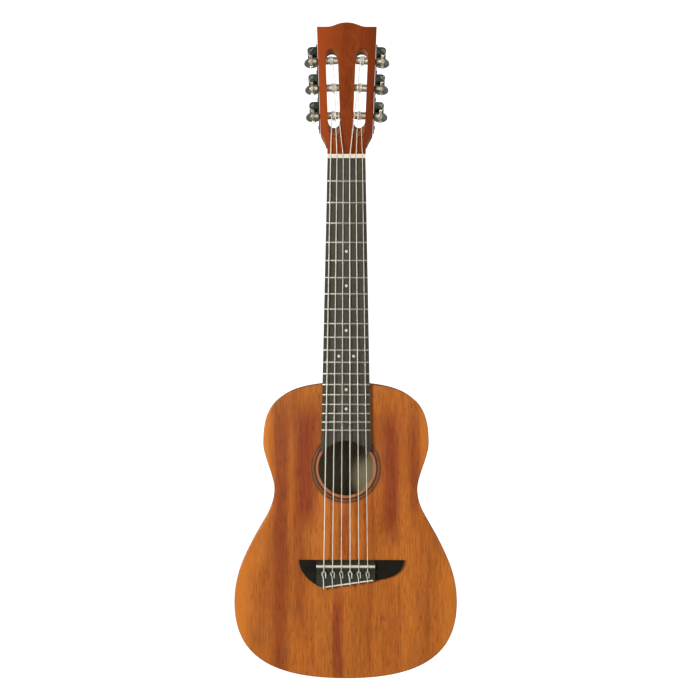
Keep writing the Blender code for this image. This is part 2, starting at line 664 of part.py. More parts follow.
def make_saddle(bone):
    half = TIE_BLOCK_WIDTH / 2
    front = -SCALE_LENGTH + SADDLE_THICKNESS / 2
    rear = -SCALE_LENGTH - SADDLE_THICKNESS / 2
    crown = [(front, SADDLE_TOP + 0.6 * MM), (front - 0.5 * MM, SADDLE_TOP),
             (-SCALE_LENGTH + 0.2 * MM, SADDLE_TOP), (rear, SADDLE_TOP + 1.8 * MM)]
    prism("saddle", [(rear, SADDLE_BOTTOM), (front, SADDLE_BOTTOM)] + crown, -half, half, SIDE_FRAME, bone)


# Fretboard and nut

def make_fretboard(wood, sound_hole_trim):
    """One long side profile with a bump for each fret, drawn across and tapered."""
    start = -GAP
    profile = [(start, FRETBOARD_THICKNESS), (start, 0)]
    half = FRET_WIDTH / 2
    for fret in range(1, FRET_COUNT + 1):
        z = -fret_distance(fret)
        profile += [(z + half, 0), (z + half / 2, -FRET_HEIGHT), (z - half / 2, -FRET_HEIGHT), (z - half, 0)]
    profile += [(FRETBOARD_END, 0), (FRETBOARD_END, FRETBOARD_THICKNESS)]
    board = prism("fretboard", profile, -1, 1, SIDE_FRAME, wood)
    for corner in board.data.vertices:
        corner.co.x *= fretboard_half_width(corner.co.z)
    cut(board, sound_hole_trim)


def make_nut(bone, strings):
    half = NUT_WIDTH / 2
    profile = [(0, FRETBOARD_THICKNESS), (0, -NUT_RISE), (1.0 * MM, -NUT_RISE),
               (NUT_THICKNESS, -NUT_RISE + NUT_BACK_DROP), (NUT_THICKNESS, FRETBOARD_THICKNESS)]
    nut = prism("nut", profile, -half, half, SIDE_FRAME, bone)
    for string in strings:
        crest = string["crest"]
        groove = string["radius"] + GAP
        name = "nut_groove_" + string["number"]
        front = crest + (string["saddle"] - crest).normalized() * 3 * MM
        back = crest + (string["winding"][0] - crest).normalized() * 9 * MM
        cut(nut, round_rod(name + "_front", front, crest, groove, 6),
            round_rod(name + "_back", crest + (crest - back) * 0.05, back, groove, 6))


# Neck and headstock

def back_section(half_width, depth, fullness, origin, tilt, count=10):
    """A ring with a flat front and a round back; a higher fullness makes its corners squarer."""
    ring = []
    for step in range(count + 1):
        angle = math.pi * step / count
        sine = max(math.sin(angle), 0)
        behind = depth * sine ** (2 / fullness)
        ring.append(Vector((half_width * math.cos(angle), origin[0] + behind * math.cos(tilt),
                            origin[1] - behind * math.sin(tilt))))
    return ring


def neck_rings():
    """Sections from the heel up to the headstock's flare."""
    heel_start = BODY_TOP + HEEL_CAP_LENGTH + HEEL_CURVE_LENGTH
    rings = []

    def neck_depth(z):
        share = z / heel_start
        return NECK_DEPTH_AT_NUT + (NECK_DEPTH_AT_HEEL - NECK_DEPTH_AT_NUT) * share

    def add(z, depth, fullness):
        rings.append(back_section(fretboard_half_width(z), depth, fullness, (BODY_FACE, z), 0))

    add(BODY_TOP - SIDE_THICKNESS, HEEL_DEPTH, 1.4)
    for share in (1, 0.96, 0.88, 0.75, 0.55, 0.3, 0):
        z = heel_start - share * HEEL_CURVE_LENGTH
        base = neck_depth(z)
        drop = 1 - math.sqrt(1 - share ** 2)
        add(z, base + (HEEL_DEPTH - base) * drop, 2 - 0.6 * share)
    for z in (heel_start * 0.5, heel_start * 0.1, NUT_THICKNESS):
        add(z, neck_depth(z), 2)
    shelf = HEAD_FRAME @ Vector((0, HEADPLATE_FROM, HEAD_WOOD_FRONT))
    shelf_depth = BODY_FACE + NECK_DEPTH_AT_NUT - shelf.y
    rings.append(back_section(fretboard_half_width(0), shelf_depth, 2.2,
                              (shelf.y, NUT_THICKNESS + 2 * GAP), 0))
    head_depth = HEAD_THICKNESS - HEAD_WOOD_FRONT
    inside = 0.5 * MM
    flare = HEAD_BLOCK_FROM - HEAD_FLARE_FROM
    for up, narrower, front, fullness in ((HEAD_FLARE_FROM + 1 * MM, 0, 0, 3), (HEAD_BLOCK_FROM - inside, 0.6 * MM, 0, 5),
                                          (HEAD_BLOCK_FROM + flare / 2, 2 * MM, inside, 6),
                                          (HEAD_BLOCK_FROM + 2 * flare, 5 * MM, inside, 6)):
        origin = HEAD_FRAME @ Vector((0, up, HEAD_WOOD_FRONT + front))
        rings.append(back_section(head_half_width(up) - narrower, head_depth - 2 * front, fullness,
                                  (origin.y, origin.z), HEAD_TILT))
    return rings


def flare_points(steps=8):
    """The headstock's flare, as (half width, distance up the face)."""
    start = (FRETBOARD_WIDTH_AT_NUT / 2 + GAP, HEAD_FLARE_FROM)
    end = (HEAD_WIDTH_LOW / 2, HEAD_FLARE_TO)
    rise = HEAD_FLARE_TO - HEAD_FLARE_FROM
    spread = end[0] - start[0]
    return curve_points(start, (start[0] + 0.05 * spread, start[1] + 0.52 * rise),
                        (end[0] - 0.09 * spread, end[1] - 0.24 * rise), end, steps) + [end]


def head_half_width(up):
    """Half the headstock's width at a distance up its face."""
    points = flare_points(40)
    if up <= points[0][1]:
        return points[0][0]
    for low, high in zip(points, points[1:]):
        if low[1] <= up < high[1]:
            return low[0] + (high[0] - low[0]) * (up - low[1]) / (high[1] - low[1])
    return HEAD_WIDTH / 2 - (HEAD_CORNER_AT - up) * math.tan(SIDE_LEAN)


def head_outline(start):
    """The headstock's outline above a distance up its face."""
    peak = HEAD_CORNER_AT + HEAD_PEAK_RISE
    treble = [(head_half_width(start), start)]
    treble += [point for point in flare_points() if point[1] > start + GAP]
    treble += [(HEAD_WIDTH / 2, HEAD_CORNER_AT)]
    treble += curve_points((HEAD_PEAK_WIDTH / 2, HEAD_CORNER_AT), (HEAD_PEAK_WIDTH / 3, HEAD_CORNER_AT),
                           (HEAD_PEAK_WIDTH / 4, peak), (0, peak), 7)
    return treble + [(0, peak)] + [(-x, up) for x, up in treble[::-1]]


def side_frame(side):
    """The headstock's axes, turned at its middle rollers to run along one of its leaning side walls."""
    middle = Matrix.Translation((0, ROLLERS_AT[1], 0))
    return HEAD_FRAME @ middle @ Matrix.Rotation(-side * SIDE_LEAN, 4, "Z") @ middle.inverted()


def slot_cutters(side_name, side):
    """A slot with a round top end, and the slanting round ramp at its lower end."""
    radius = SLOT_WIDTH / 2
    frame = side_frame(side) @ Matrix.Translation((side * SLOT_CENTRE, SLOT_FRONT_FROM, 0))
    slope = (SLOT_BACK_FROM - SLOT_FRONT_FROM) / HEAD_THICKNESS
    ramp_middle = radius * math.sqrt(1 + slope ** 2)
    top_middle = SLOT_TO - SLOT_FRONT_FROM - radius
    margin = 3 * MM
    rings = []
    for depth in (-margin, HEAD_THICKNESS + margin):
        low = ramp_middle + slope * depth
        flat = [(-radius, low), (radius, low), *circle((0, top_middle), radius, 8, 0, math.pi * 0.999)]
        rings.append([frame @ Vector((across, up, depth)) for across, up in flat])
    straight = loft("slot_" + side_name, rings)
    ramp_ends = [frame @ Vector((0, ramp_middle + slope * depth, depth))
                 for depth in (-2 * margin, HEAD_THICKNESS + 3 * margin)]
    ramp = round_rod("slot_ramp_" + side_name, *ramp_ends, radius * math.cos(math.pi / 14) - 0.1 * MM, 14)
    return [straight, ramp]


def make_neck(wood, slots, rollers):
    neck = loft("neck", neck_rings(), wood)
    body_space = prism("body_space", body_outline(-GAP), BODY_FACE - 20 * MM, BODY_BACK, FRONT_FRAME)
    cut(neck, body_space)
    head = prism("head_block", head_outline(HEAD_BLOCK_FROM), HEAD_WOOD_FRONT, HEAD_THICKNESS, HEAD_FRAME)
    join(neck, head)
    cut(neck, *slots)
    for roller in rollers:
        cut(neck, *roller_holes(roller))
    smooth(neck)


def roller_holes(roller):
    """The hole through the headstock's side and the blind bearing hole in its middle bar."""
    side = roller["side"]
    name = roller["number"]
    frame = side_frame(side)

    def at(x):
        return frame @ Vector((side * x, roller["up"], ROLLER_DEPTH))

    middle = at(SLOT_CENTRE)
    bearing_end = at(SLOT_CENTRE - SLOT_WIDTH / 2 - ROLLER_JOURNAL_LENGTH - GAP)
    outer = round_rod("roller_hole_" + name, middle, at(SIDE_WALL + 5 * MM), ROLLER_RADIUS + GAP, 12)
    inner = round_rod("bearing_hole_" + name, bearing_end, middle, ROLLER_JOURNAL_RADIUS + GAP, 12)
    return outer, inner


def make_headplate(wood, slots):
    plate = prism("headplate", head_outline(HEADPLATE_FROM), 0, HEADPLATE_THICKNESS, HEAD_FRAME, wood)
    cut(plate, *slots)


# Tuning machines

def make_machine_plate(name, side, metal):
    """A flat plate with a hole for each roller and two bearing lugs for each worm."""
    half = PLATE_HEIGHT / 2
    frame = side_frame(side)
    low = ROLLERS_AT[0] - PLATE_FOOT_MARGIN
    high = ROLLERS_AT[-1] + WORM_OFFSET + PLATE_TOP_MARGIN
    corner = 3 * MM
    outline = [(low, ROLLER_DEPTH - half + corner), (low + corner, ROLLER_DEPTH - half),
               (high - corner, ROLLER_DEPTH - half), (high, ROLLER_DEPTH - half + corner),
               (high, ROLLER_DEPTH + half - corner), (high - corner, ROLLER_DEPTH + half),
               (low + corner, ROLLER_DEPTH + half), (low, ROLLER_DEPTH + half - corner)]
    plate = prism(name, outline, side * PLATE_INNER, side * PLATE_OUTER, frame @ SIDEWAYS, metal)
    root = PLATE_INNER + PLATE_THICKNESS / 2
    holes = []
    for number, up in enumerate(ROLLERS_AT):
        worm_up = up + WORM_OFFSET
        arc = circle((GEAR_X, worm_up), LUG_RADIUS, 5, -math.pi / 2, math.pi)
        tab = [(root, worm_up - LUG_RADIUS), *arc, (root, worm_up + LUG_RADIUS)]
        tab = [(side * x, along) for x, along in tab]
        for end, depth in (("front", LUG_FRONT), ("back", LUG_BACK)):
            lug_name = name + "_lug_" + end + str(number)
            join(plate, prism(lug_name, tab, depth, depth + LUG_THICKNESS, frame))
        shaft_ends = [frame @ Vector((side * GEAR_X, worm_up, depth))
                      for depth in (LUG_FRONT - 1 * MM, LUG_BACK + LUG_THICKNESS + 1 * MM)]
        holes.append(round_rod(name + "_shaft_hole" + str(number), *shaft_ends, SHAFT_RADIUS + GAP, 8))
        shank_ends = [frame @ Vector((side * x, up, ROLLER_DEPTH))
                      for x in (PLATE_INNER - 1 * MM, PLATE_OUTER + 1 * MM)]
        holes.append(round_rod(name + "_shank_hole" + str(number), *shank_ends,
                               ROLLER_SHANK_RADIUS + GAP, 8))
    cut(plate, *holes)


def tooth_radii(pitch_radius):
    return pitch_radius + TOOTH_ADDENDUM, pitch_radius - TOOTH_DEDENDUM


def make_roller(roller, metal):
    """Journal in the middle bar, barrel across the slot, and shank out to the gear."""
    wall = SLOT_CENTRE - SLOT_WIDTH / 2
    barrel_from = wall + GAP
    barrel_to = PLATE_INNER - GAP
    journal_from = wall - ROLLER_JOURNAL_LENGTH
    profile = [(journal_from, 0), (journal_from, ROLLER_JOURNAL_RADIUS), (barrel_from, ROLLER_JOURNAL_RADIUS),
               (barrel_from, ROLLER_RADIUS), (barrel_to, ROLLER_RADIUS), (barrel_to, ROLLER_SHANK_RADIUS),
               (SHANK_END, ROLLER_SHANK_RADIUS), (SHANK_END, 0)]
    made = lathe("roller_" + roller["number"], profile, ROLLER_SIDES, metal, roller["axle"])
    made.matrix_local = Matrix.Rotation(roller["side"] * math.pi / 2, 4, "Y")
    smooth(made)


def gear_ring(x, twist):
    """One face of the gear, its teeth turned by twist: (across, up, behind)."""
    tip, root = tooth_radii(GEAR_PITCH_RADIUS)
    pitch = 2 * math.pi / GEAR_TEETH
    tip_half = TOOTH_TIP_SHARE * pitch * GEAR_PITCH_RADIUS / (2 * tip)
    root_half = TOOTH_ROOT_SHARE * pitch * GEAR_PITCH_RADIUS / (2 * root)
    ring = []
    for tooth in range(GEAR_TEETH):
        middle = tooth * pitch + twist
        for radius, offset in ((root, -root_half), (tip, -tip_half), (tip, tip_half), (root, root_half)):
            ring.append(Vector((x, radius * math.cos(middle + offset), radius * math.sin(middle + offset))))
    return ring


def make_gear(roller, metal):
    """A worm wheel with a hub towards the plate, in the roller's own axes."""
    side = roller["side"]
    lead_angle = math.atan(THREAD_LEAD / (2 * math.pi * WORM_PITCH_RADIUS))
    twist = GEAR_WIDTH / 2 * math.tan(lead_angle) / GEAR_PITCH_RADIUS
    inner = side * (GEAR_X - GEAR_WIDTH / 2)
    outer = side * (GEAR_X + GEAR_WIDTH / 2)
    gear = loft("gear_" + roller["number"], [gear_ring(inner, -twist), gear_ring(outer, twist)],
                metal, roller["axle"])
    hub = round_rod("gear_hub_" + roller["number"], Vector((side * (PLATE_OUTER + GAP), 0, 0)),
                    Vector((side * GEAR_X, 0, 0)), GEAR_HUB_RADIUS, 10)
    hub.parent = roller["axle"]
    bore = round_rod("gear_bore_" + roller["number"], Vector((side * PLATE_OUTER, 0, 0)),
                     Vector((side * (GEAR_X + GEAR_WIDTH), 0, 0)), ROLLER_SHANK_RADIUS + GAP, 8)
    bore.parent = roller["axle"]
    join(gear, hub)
    cut(gear, bore)


def worm_ring(along, thread, turn):
    """A section of the worm: the shaft's circle, or the thread's tooth on one side of it."""
    tip, root = tooth_radii(WORM_PITCH_RADIUS)
    tip_half = TOOTH_TIP_SHARE * math.pi
    root_half = TOOTH_ROOT_SHARE * math.pi
    rest = 2 * math.pi - 2 * root_half
    shape = [(-root_half, root), (-tip_half, tip), (0, tip), (tip_half, tip), (root_half, root),
             (root_half + rest / 4, root), (root_half + rest / 2, root), (root_half + 3 * rest / 4, root)]
    ring = []
    for angle, radius in shape:
        reach = radius if thread else SHAFT_RADIUS
        ring.append(Vector((reach * math.cos(angle + turn), reach * math.sin(angle + turn), along)))
    return ring


def make_worm(roller, metal):
    """Shaft and single-start thread in one piece, along the local Z axis, which runs to the back."""
    side = roller["side"]
    half = THREAD_LENGTH / 2
    steps = round(THREAD_STEPS * THREAD_TURNS)
    rings = [worm_ring(-ROLLER_DEPTH - SHAFT_FRONT_END, False, worm_turn(side, -half)),
             worm_ring(-half - GAP, False, worm_turn(side, -half))]
    for step in range(steps + 1):
        along = -half + THREAD_LENGTH * step / steps
        rings.append(worm_ring(along, True, worm_turn(side, along)))
    shaft_end = BUTTON_FROM + BUTTON_BORE_DEPTH - GAP - ROLLER_DEPTH
    rings += [worm_ring(half + GAP, False, worm_turn(side, half)),
              worm_ring(shaft_end, False, worm_turn(side, half))]
    loft("worm_" + roller["number"], rings, metal, roller["worm_axis"])


def worm_turn(side, along):
    """The thread's direction at a place along the worm: a gap of the thread faces a tooth at rest."""
    facing_gear = math.pi / 2
    return facing_gear + math.pi + side * 2 * math.pi * along / THREAD_LEAD


def make_button(roller, plastic):
    """A flat oval knob that swells from a round neck, bored for the shaft."""
    neck = BUTTON_NECK_RADIUS
    wide = BUTTON_WIDTH / 2
    thick = BUTTON_THICKNESS / 2
    stations = ((0, neck, neck), (0.18, neck, neck), (0.34, neck + 0.08 * wide, neck),
                (0.5, 0.66 * wide, 0.76 * thick), (0.68, 0.92 * wide, 0.94 * thick),
                (0.84, wide, thick), (0.96, 0.9 * wide, 0.84 * thick), (1, 0.62 * wide, 0.5 * thick))
    rings = []
    for share, across, deep in stations:
        along = BUTTON_FROM - ROLLER_DEPTH + share * BUTTON_LENGTH
        angles = [2 * math.pi * step / BUTTON_SIDES for step in range(BUTTON_SIDES)]
        rings.append([Vector((across * math.cos(a), deep * math.sin(a), along)) for a in angles])
    button = loft("button_" + roller["number"], rings, plastic, roller["worm_axis"])
    bottom = BUTTON_FROM - ROLLER_DEPTH
    bore = round_rod("button_bore_" + roller["number"], Vector((0, 0, bottom - 2 * MM)),
                     Vector((0, 0, bottom + BUTTON_BORE_DEPTH)), SHAFT_RADIUS + GAP, 8)
    bore.parent = roller["worm_axis"]
    cut(button, bore)
    smooth(button, 50)


def tuner_layout():
    """The six machines: string 1 to 3 up to down on the treble side, 4 to 6 on the bass side."""
    rollers = []
    for number in range(1, 7):
        side = 1 if number <= 3 else -1
        row = number - 1 if number <= 3 else 6 - number
        up = ROLLERS_AT[row]
        axle = empty("roller_axle_" + str(number), machine_frame(side, up, 0))
        worm_axis = empty("worm_axis_" + str(number), machine_frame(side, up + WORM_OFFSET, side * GEAR_X))
        rollers.append({"number": str(number), "side": side, "up": up, "axle": axle, "worm_axis": worm_axis})
    return rollers


def machine_frame(side, up, x):
    """Axes on a roller's or worm's line: X across, Y down the headstock's wall, Z to its back."""
    return side_frame(side) @ Matrix.Translation((x, up, ROLLER_DEPTH)) @ Matrix.Scale(-1, 4, (0, 1, 0))


# Strings

def string_layout(rollers):
    """Each string's radius, its places on the nut and saddle, and where it leaves the nut for."""
    strings = []
    for index, diameter in enumerate(STRING_DIAMETERS):
        offset = 2.5 - index
        radius = diameter / 2
        roller = rollers[index]
        crest = Vector((offset * STRING_SPACING_AT_NUT, -STRING_RISE_AT_NUT - radius, 0.6 * MM))
        saddle = Vector((offset * STRING_SPACING_AT_SADDLE, SADDLE_TOP - GAP - radius, -SCALE_LENGTH + 0.7 * MM))
        string = {"number": str(index + 1), "radius": radius, "roller": roller, "crest": crest,
                  "saddle": saddle, "x_saddle": saddle.x}
        string["winding"] = winding_points(string)
        strings.append(string)
    return strings


def winding_points(string):
    """Turns round the roller, from the front of the barrel and over its top."""
    side = string["roller"]["side"]
    up = string["roller"]["up"]
    radius = string["radius"]
    reach = ROLLER_RADIUS / math.cos(math.pi / ROLLER_SIDES) + GAP + radius
    pitch = 2 * radius + WINDING_GAP
    outward = -1 if string["number"] in ("1", "6") else 1
    start_x = SLOT_CENTRE - outward * 0.5 * pitch * WINDING_TURNS
    if string["number"] in ("3", "4"):
        start_x += MIDDLE_WINDING_SHIFT
    frame = side_frame(side)
    nut = frame.inverted() @ string["crest"]
    leave = Vector((nut.y - up, nut.z - ROLLER_DEPTH))
    first = math.atan2(leave.x, -leave.y) + math.acos(reach / leave.length)
    points = []
    count = round(WINDING_TURNS * WINDING_POINTS)
    for step in range(count + 1):
        angle = first + 2 * math.pi * step / WINDING_POINTS
        x = start_x + outward * pitch * step / WINDING_POINTS
        points.append(frame @ Vector((side * x, up + reach * math.sin(angle),
                                      ROLLER_DEPTH - reach * math.cos(angle))))
    return points


def tie_points(string):
    """The knot: over the tie block, round the standing string, back over and in from the tail side."""
    x = string["x_saddle"]
    radius = string["radius"]
    beside = 2 * radius + KNOT_GAP
    over = TIE_BLOCK_FACE - GAP - radius - 0.15 * MM
    front = TIE_BLOCK_FRONT
    rear = tail_edge_z(x)
    mouth = Vector((x, TIE_HOLE_Y - 0.2 * MM, front + GAP))
    rise = (string["saddle"].y - mouth.y) / (string["saddle"].z - mouth.z)

    def standing(z):
        return mouth.y + rise * (z - mouth.z)

    under = beside * math.sqrt(1 + rise ** 2)
    knot = [Vector((x + beside, over, front - 4.5 * MM)),
            Vector((x + beside, over, front - 0.2 * MM)),
            Vector((x + beside, over + 0.35 * MM, front + 0.75 * MM)),
            Vector((x + beside, standing(front + 1.5 * MM), front + 1.5 * MM)),
            Vector((x, standing(front + 2.2 * MM) + under, front + 2.2 * MM)),
            Vector((x - beside, standing(front + 1.5 * MM), front + 1.5 * MM)),
            Vector((x - beside, over + 0.35 * MM, front + 0.75 * MM)),
            Vector((x - beside, over, front - 0.2 * MM)),
            Vector((x - beside / 3, over, front - 4 * MM)),
            Vector((x, over, rear + 0.6 * MM))]
    points = smooth_route(knot, 2)
    turn_radius = (TIE_HOLE_Y - over) / 2
    for step in range(1, 6):
        angle = math.pi * step / 6
        points.append(Vector((x, over + turn_radius * (1 - math.cos(angle)),
                              rear - LOOP_REACH * turn_radius * math.sin(angle))))
    return points + [Vector((x, TIE_HOLE_Y, rear + 0.6 * MM)), Vector((x, TIE_HOLE_Y, front - 0.5 * MM)), mouth]


def smooth_route(stations, steps):
    """Points on a smooth curve through the stations."""
    points = []
    for index in range(len(stations) - 1):
        start = stations[index]
        end = stations[index + 1]
        before = stations[index - 1] if index else start
        after = stations[index + 2] if index + 2 < len(stations) else end
        for step in range(steps):
            t = step / steps
            points.append(bezier(start, start + (end - before) / 6, end - (after - start) / 6, end, t))
    return points + [stations[-1]]


def make_string(string, nylon):
    route = tie_points(string) + [string["saddle"] - Vector((0, 0, 0.6 * MM)), string["saddle"], string["crest"]]
    route += string["winding"]
    name = "string_" + string["number"]
    curve = bpy.data.curves.new(name, "CURVE")
    curve.dimensions = "3D"
    curve.bevel_depth = string["radius"]
    curve.bevel_resolution = 1
    curve.use_fill_caps = True
    curve.materials.append(nylon)
    spline = curve.splines.new("POLY")
    spline.points.add(len(route) - 1)
    for point, place in zip(spline.points, route):
        point.co = (*place, 1)
    made = bpy.data.objects.new(name, curve)
    bpy.context.scene.collection.objects.link(made)
    print(name, "length", round(route_length(route) * 1000), "mm, least gap to itself",
          round(least_gap(route, 2 * string["radius"]) * 1000, 2), "mm")


def route_length(route):
    return sum((end - start).length for start, end in zip(route, route[1:]))


def least_gap(route, diameter):
    """The least distance between two stretches of a route, less its diameter."""
    spacing = diameter / 3
    samples = []
    travelled = []
    distance = 0
    for start, end in zip(route, route[1:]):
        length = (end - start).length
        count = max(1, math.ceil(length / spacing)) if length < 20 * MM else 1
        for step in range(count):
            samples.append(start.lerp(end, step / count))
            travelled.append(distance + length * step / count)
        distance += length
    places = numpy.array([tuple(sample) for sample in samples])
    along = numpy.array(travelled)
    apart = numpy.linalg.norm(places[:, None, :] - places[None, :, :], axis=2)
    far_along = numpy.abs(along[:, None] - along[None, :]) > 4 * diameter
    return apart[far_along].min() - diameter


def main():
    for old in list(bpy.data.objects):
        bpy.data.objects.remove(old)

    top_wood = material("top mahogany", (0.50, 0.20, 0.07), 0.45)
    side_wood = material("side mahogany", (0.42, 0.15, 0.06), 0.5)
    neck_wood = material("neck mahogany", (0.38, 0.12, 0.05), 0.5)
    head_wood = material("headplate mahogany", (0.42, 0.09, 0.04), 0.45)
    spruce = material("brace spruce", (0.70, 0.52, 0.30), 0.7)
    dark_wood = material("dark fretboard wood", (0.06, 0.05, 0.03), 0.5)
    black_wood = material("black bridge wood", (0.015, 0.015, 0.015), 0.45)
    inlay = material("rosette inlay", (0.30, 0.12, 0.05), 0.5)
    bone = material("bone", (0.85, 0.82, 0.72), 0.35)
    nylon = material("nylon", (0.80, 0.80, 0.76), 0.3)
    chrome = material("chrome", (0.70, 0.70, 0.66), 0.2, 1.0)
    steel = material("roller steel", (0.72, 0.70, 0.62), 0.3, 0.8)

    sound_hole = prism("sound_hole", circle((0, SOUND_HOLE_Z), SOUND_HOLE_RADIUS, RING_SIDES),
                       BODY_FACE - 5 * MM, TOP_INSIDE + 5 * MM, FRONT_FRAME)
    fretboard_trim = prism("fretboard_trim", circle((0, SOUND_HOLE_Z), SOUND_HOLE_RADIUS + GAP, RING_SIDES),
                           -10 * MM, BODY_FACE + 5 * MM, FRONT_FRAME)
    slots = slot_cutters("treble", 1) + slot_cutters("bass", -1)
    rollers = tuner_layout()
    strings = string_layout(rollers)

    make_soundboard(top_wood, sound_hole)
    make_back(side_wood)
    make_sides(side_wood)
    make_linings(spruce)
    make_blocks(spruce)
    make_braces(spruce)
    make_bridge_plate(spruce)
    make_rosette(inlay)
    make_bridge(black_wood, strings)
    strip_bar("tie_strip", 0, bone)
    make_saddle(bone)
    make_fretboard(dark_wood, fretboard_trim)
    make_nut(bone, strings)
    make_neck(neck_wood, slots, rollers)
    make_headplate(head_wood, slots)
    make_machine_plate("machine_plate_treble", 1, chrome)
    make_machine_plate("machine_plate_bass", -1, chrome)
    for roller in rollers:
        make_roller(roller, steel)
        make_gear(roller, steel)
        make_worm(roller, chrome)
        make_button(roller, chrome)
    for string in strings:
        make_string(string, nylon)


main()
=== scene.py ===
# %% [markdown]
# # A guitalele in mahogany
#
# A guitalele is a six-string nylon guitar as small as a tenor ukulele. Its solids come from
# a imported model, in metres. This lesson gives them their woods and metals, and adds what is
# too fine for the solids: fret wires, position dots, round strings, cast buttons and screws.

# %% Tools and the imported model
import json
import math

import bmesh
import bpy
from mathutils import Matrix, Vector


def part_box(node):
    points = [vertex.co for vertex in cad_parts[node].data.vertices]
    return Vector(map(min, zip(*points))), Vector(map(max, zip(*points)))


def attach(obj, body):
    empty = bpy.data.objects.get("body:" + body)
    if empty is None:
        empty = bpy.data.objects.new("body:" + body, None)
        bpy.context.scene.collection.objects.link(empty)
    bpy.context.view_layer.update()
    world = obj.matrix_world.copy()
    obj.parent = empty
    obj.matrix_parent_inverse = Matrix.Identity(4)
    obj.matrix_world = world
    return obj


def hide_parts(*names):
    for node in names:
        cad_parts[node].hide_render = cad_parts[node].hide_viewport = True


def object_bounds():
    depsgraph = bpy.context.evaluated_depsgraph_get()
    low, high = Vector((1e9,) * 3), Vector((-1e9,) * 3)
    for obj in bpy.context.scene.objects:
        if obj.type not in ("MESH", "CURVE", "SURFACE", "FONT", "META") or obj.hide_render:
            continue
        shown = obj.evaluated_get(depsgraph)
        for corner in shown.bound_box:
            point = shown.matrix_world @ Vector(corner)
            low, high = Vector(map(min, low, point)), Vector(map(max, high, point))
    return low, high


MM = 0.001
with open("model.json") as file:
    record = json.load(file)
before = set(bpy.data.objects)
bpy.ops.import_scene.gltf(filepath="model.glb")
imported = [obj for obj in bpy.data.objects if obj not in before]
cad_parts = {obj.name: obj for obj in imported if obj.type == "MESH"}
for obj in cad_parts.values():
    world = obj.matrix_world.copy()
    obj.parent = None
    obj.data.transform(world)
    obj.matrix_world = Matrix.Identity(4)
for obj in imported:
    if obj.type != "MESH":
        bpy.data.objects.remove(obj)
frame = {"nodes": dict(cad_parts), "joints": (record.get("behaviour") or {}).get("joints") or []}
nodes = frame["nodes"]
cad_low, cad_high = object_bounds()
print("solids:", len(nodes), "height in mm:", round((cad_high.z - cad_low.z) / MM))

# %% [markdown]
# ## The camera
#
# The instrument is upright and seen square on, as in a shop's picture. A long lens from
# 2 metres gives its slight perspective: the buttons, which lie behind the headstock's face,
# drop a little because the camera is lower than they are.

# %% Camera
CAMERA_DISTANCE = 2.0
CAMERA_ACROSS = 4.1 * MM
CAMERA_HEIGHT = -203.5 * MM
SENSOR_WIDTH = 36.0
WIDTH_IN_VIEW = 0.7424
CAMERA_ROLL = math.radians(-0.11)

camera_data = bpy.data.cameras.new("front camera")
camera_data.sensor_width = SENSOR_WIDTH
camera_data.lens = SENSOR_WIDTH * CAMERA_DISTANCE / WIDTH_IN_VIEW
camera = bpy.data.objects.new("front camera", camera_data)
bpy.context.scene.collection.objects.link(camera)
camera.matrix_world = (
    Matrix.Translation((CAMERA_ACROSS, -CAMERA_DISTANCE, CAMERA_HEIGHT))
    @ Matrix.Rotation(CAMERA_ROLL, 4, "Y")
    @ Matrix.Rotation(math.pi / 2, 4, "X")
)
bpy.context.scene.camera = camera
bpy.context.scene.view_settings.view_transform = "Standard"
print("lens in mm:", round(camera_data.lens, 1))

# %% [markdown]
# ## The studio
#
# A white floor and a white backdrop stand apart from the object. Their
# white is an emission that only the camera sees, so it throws no extra light on the wood. A
# soft key lamp hangs at the upper left, in front, and a wide weak one fills from the right.

# %% Floor, backdrop and lights
FLOOR_DROP = 80 * MM
ROOM_SIZE = 14.0
BACKDROP_DISTANCE = 3.0


def stage_plane(name, corner_low, corner_high, finish):
    """A flat sheet between two corners, for the studio."""
    mesh = bmesh.new()
    bmesh.ops.create_grid(mesh, x_segments=1, y_segments=1, size=0.5)
    size = corner_high - corner_low
    if size.y > size.z:
        bmesh.ops.scale(mesh, vec=(size.x, size.y, 1), verts=mesh.verts)
    else:
        bmesh.ops.rotate(mesh, matrix=Matrix.Rotation(math.pi / 2, 3, "X"), verts=mesh.verts)
        bmesh.ops.scale(mesh, vec=(size.x, 1, size.z), verts=mesh.verts)
    bmesh.ops.translate(mesh, vec=(corner_low + corner_high) / 2, verts=mesh.verts)
    data = bpy.data.meshes.new(name)
    mesh.to_mesh(data)
    mesh.free()
    made = bpy.data.objects.new(name, data)
    bpy.context.scene.collection.objects.link(made)
    data.materials.append(finish)


def studio_white(name):
    """White for the camera, and pale grey paint for light and reflections."""
    made = bpy.data.materials.new(name)
    made.use_nodes = True
    tree = made.node_tree
    shader = tree.nodes["Principled BSDF"]
    shader.inputs["Base Color"].default_value = (0.45, 0.45, 0.45, 1)
    shader.inputs["Roughness"].default_value = 0.9
    rays = tree.nodes.new("ShaderNodeLightPath")
    shader.inputs["Emission Color"].default_value = (1, 1, 1, 1)
    tree.links.new(rays.outputs["Is Camera Ray"], shader.inputs["Emission Strength"])
    return made


def area_lamp(name, place, target, size, power):
    """A square soft lamp that faces a target."""
    data = bpy.data.lights.new(name, "AREA")
    data.size = size
    data.energy = power
    made = bpy.data.objects.new(name, data)
    bpy.context.scene.collection.objects.link(made)
    made.location = place
    made.rotation_euler = (Vector(target) - Vector(place)).to_track_quat("-Z", "Y").to_euler()


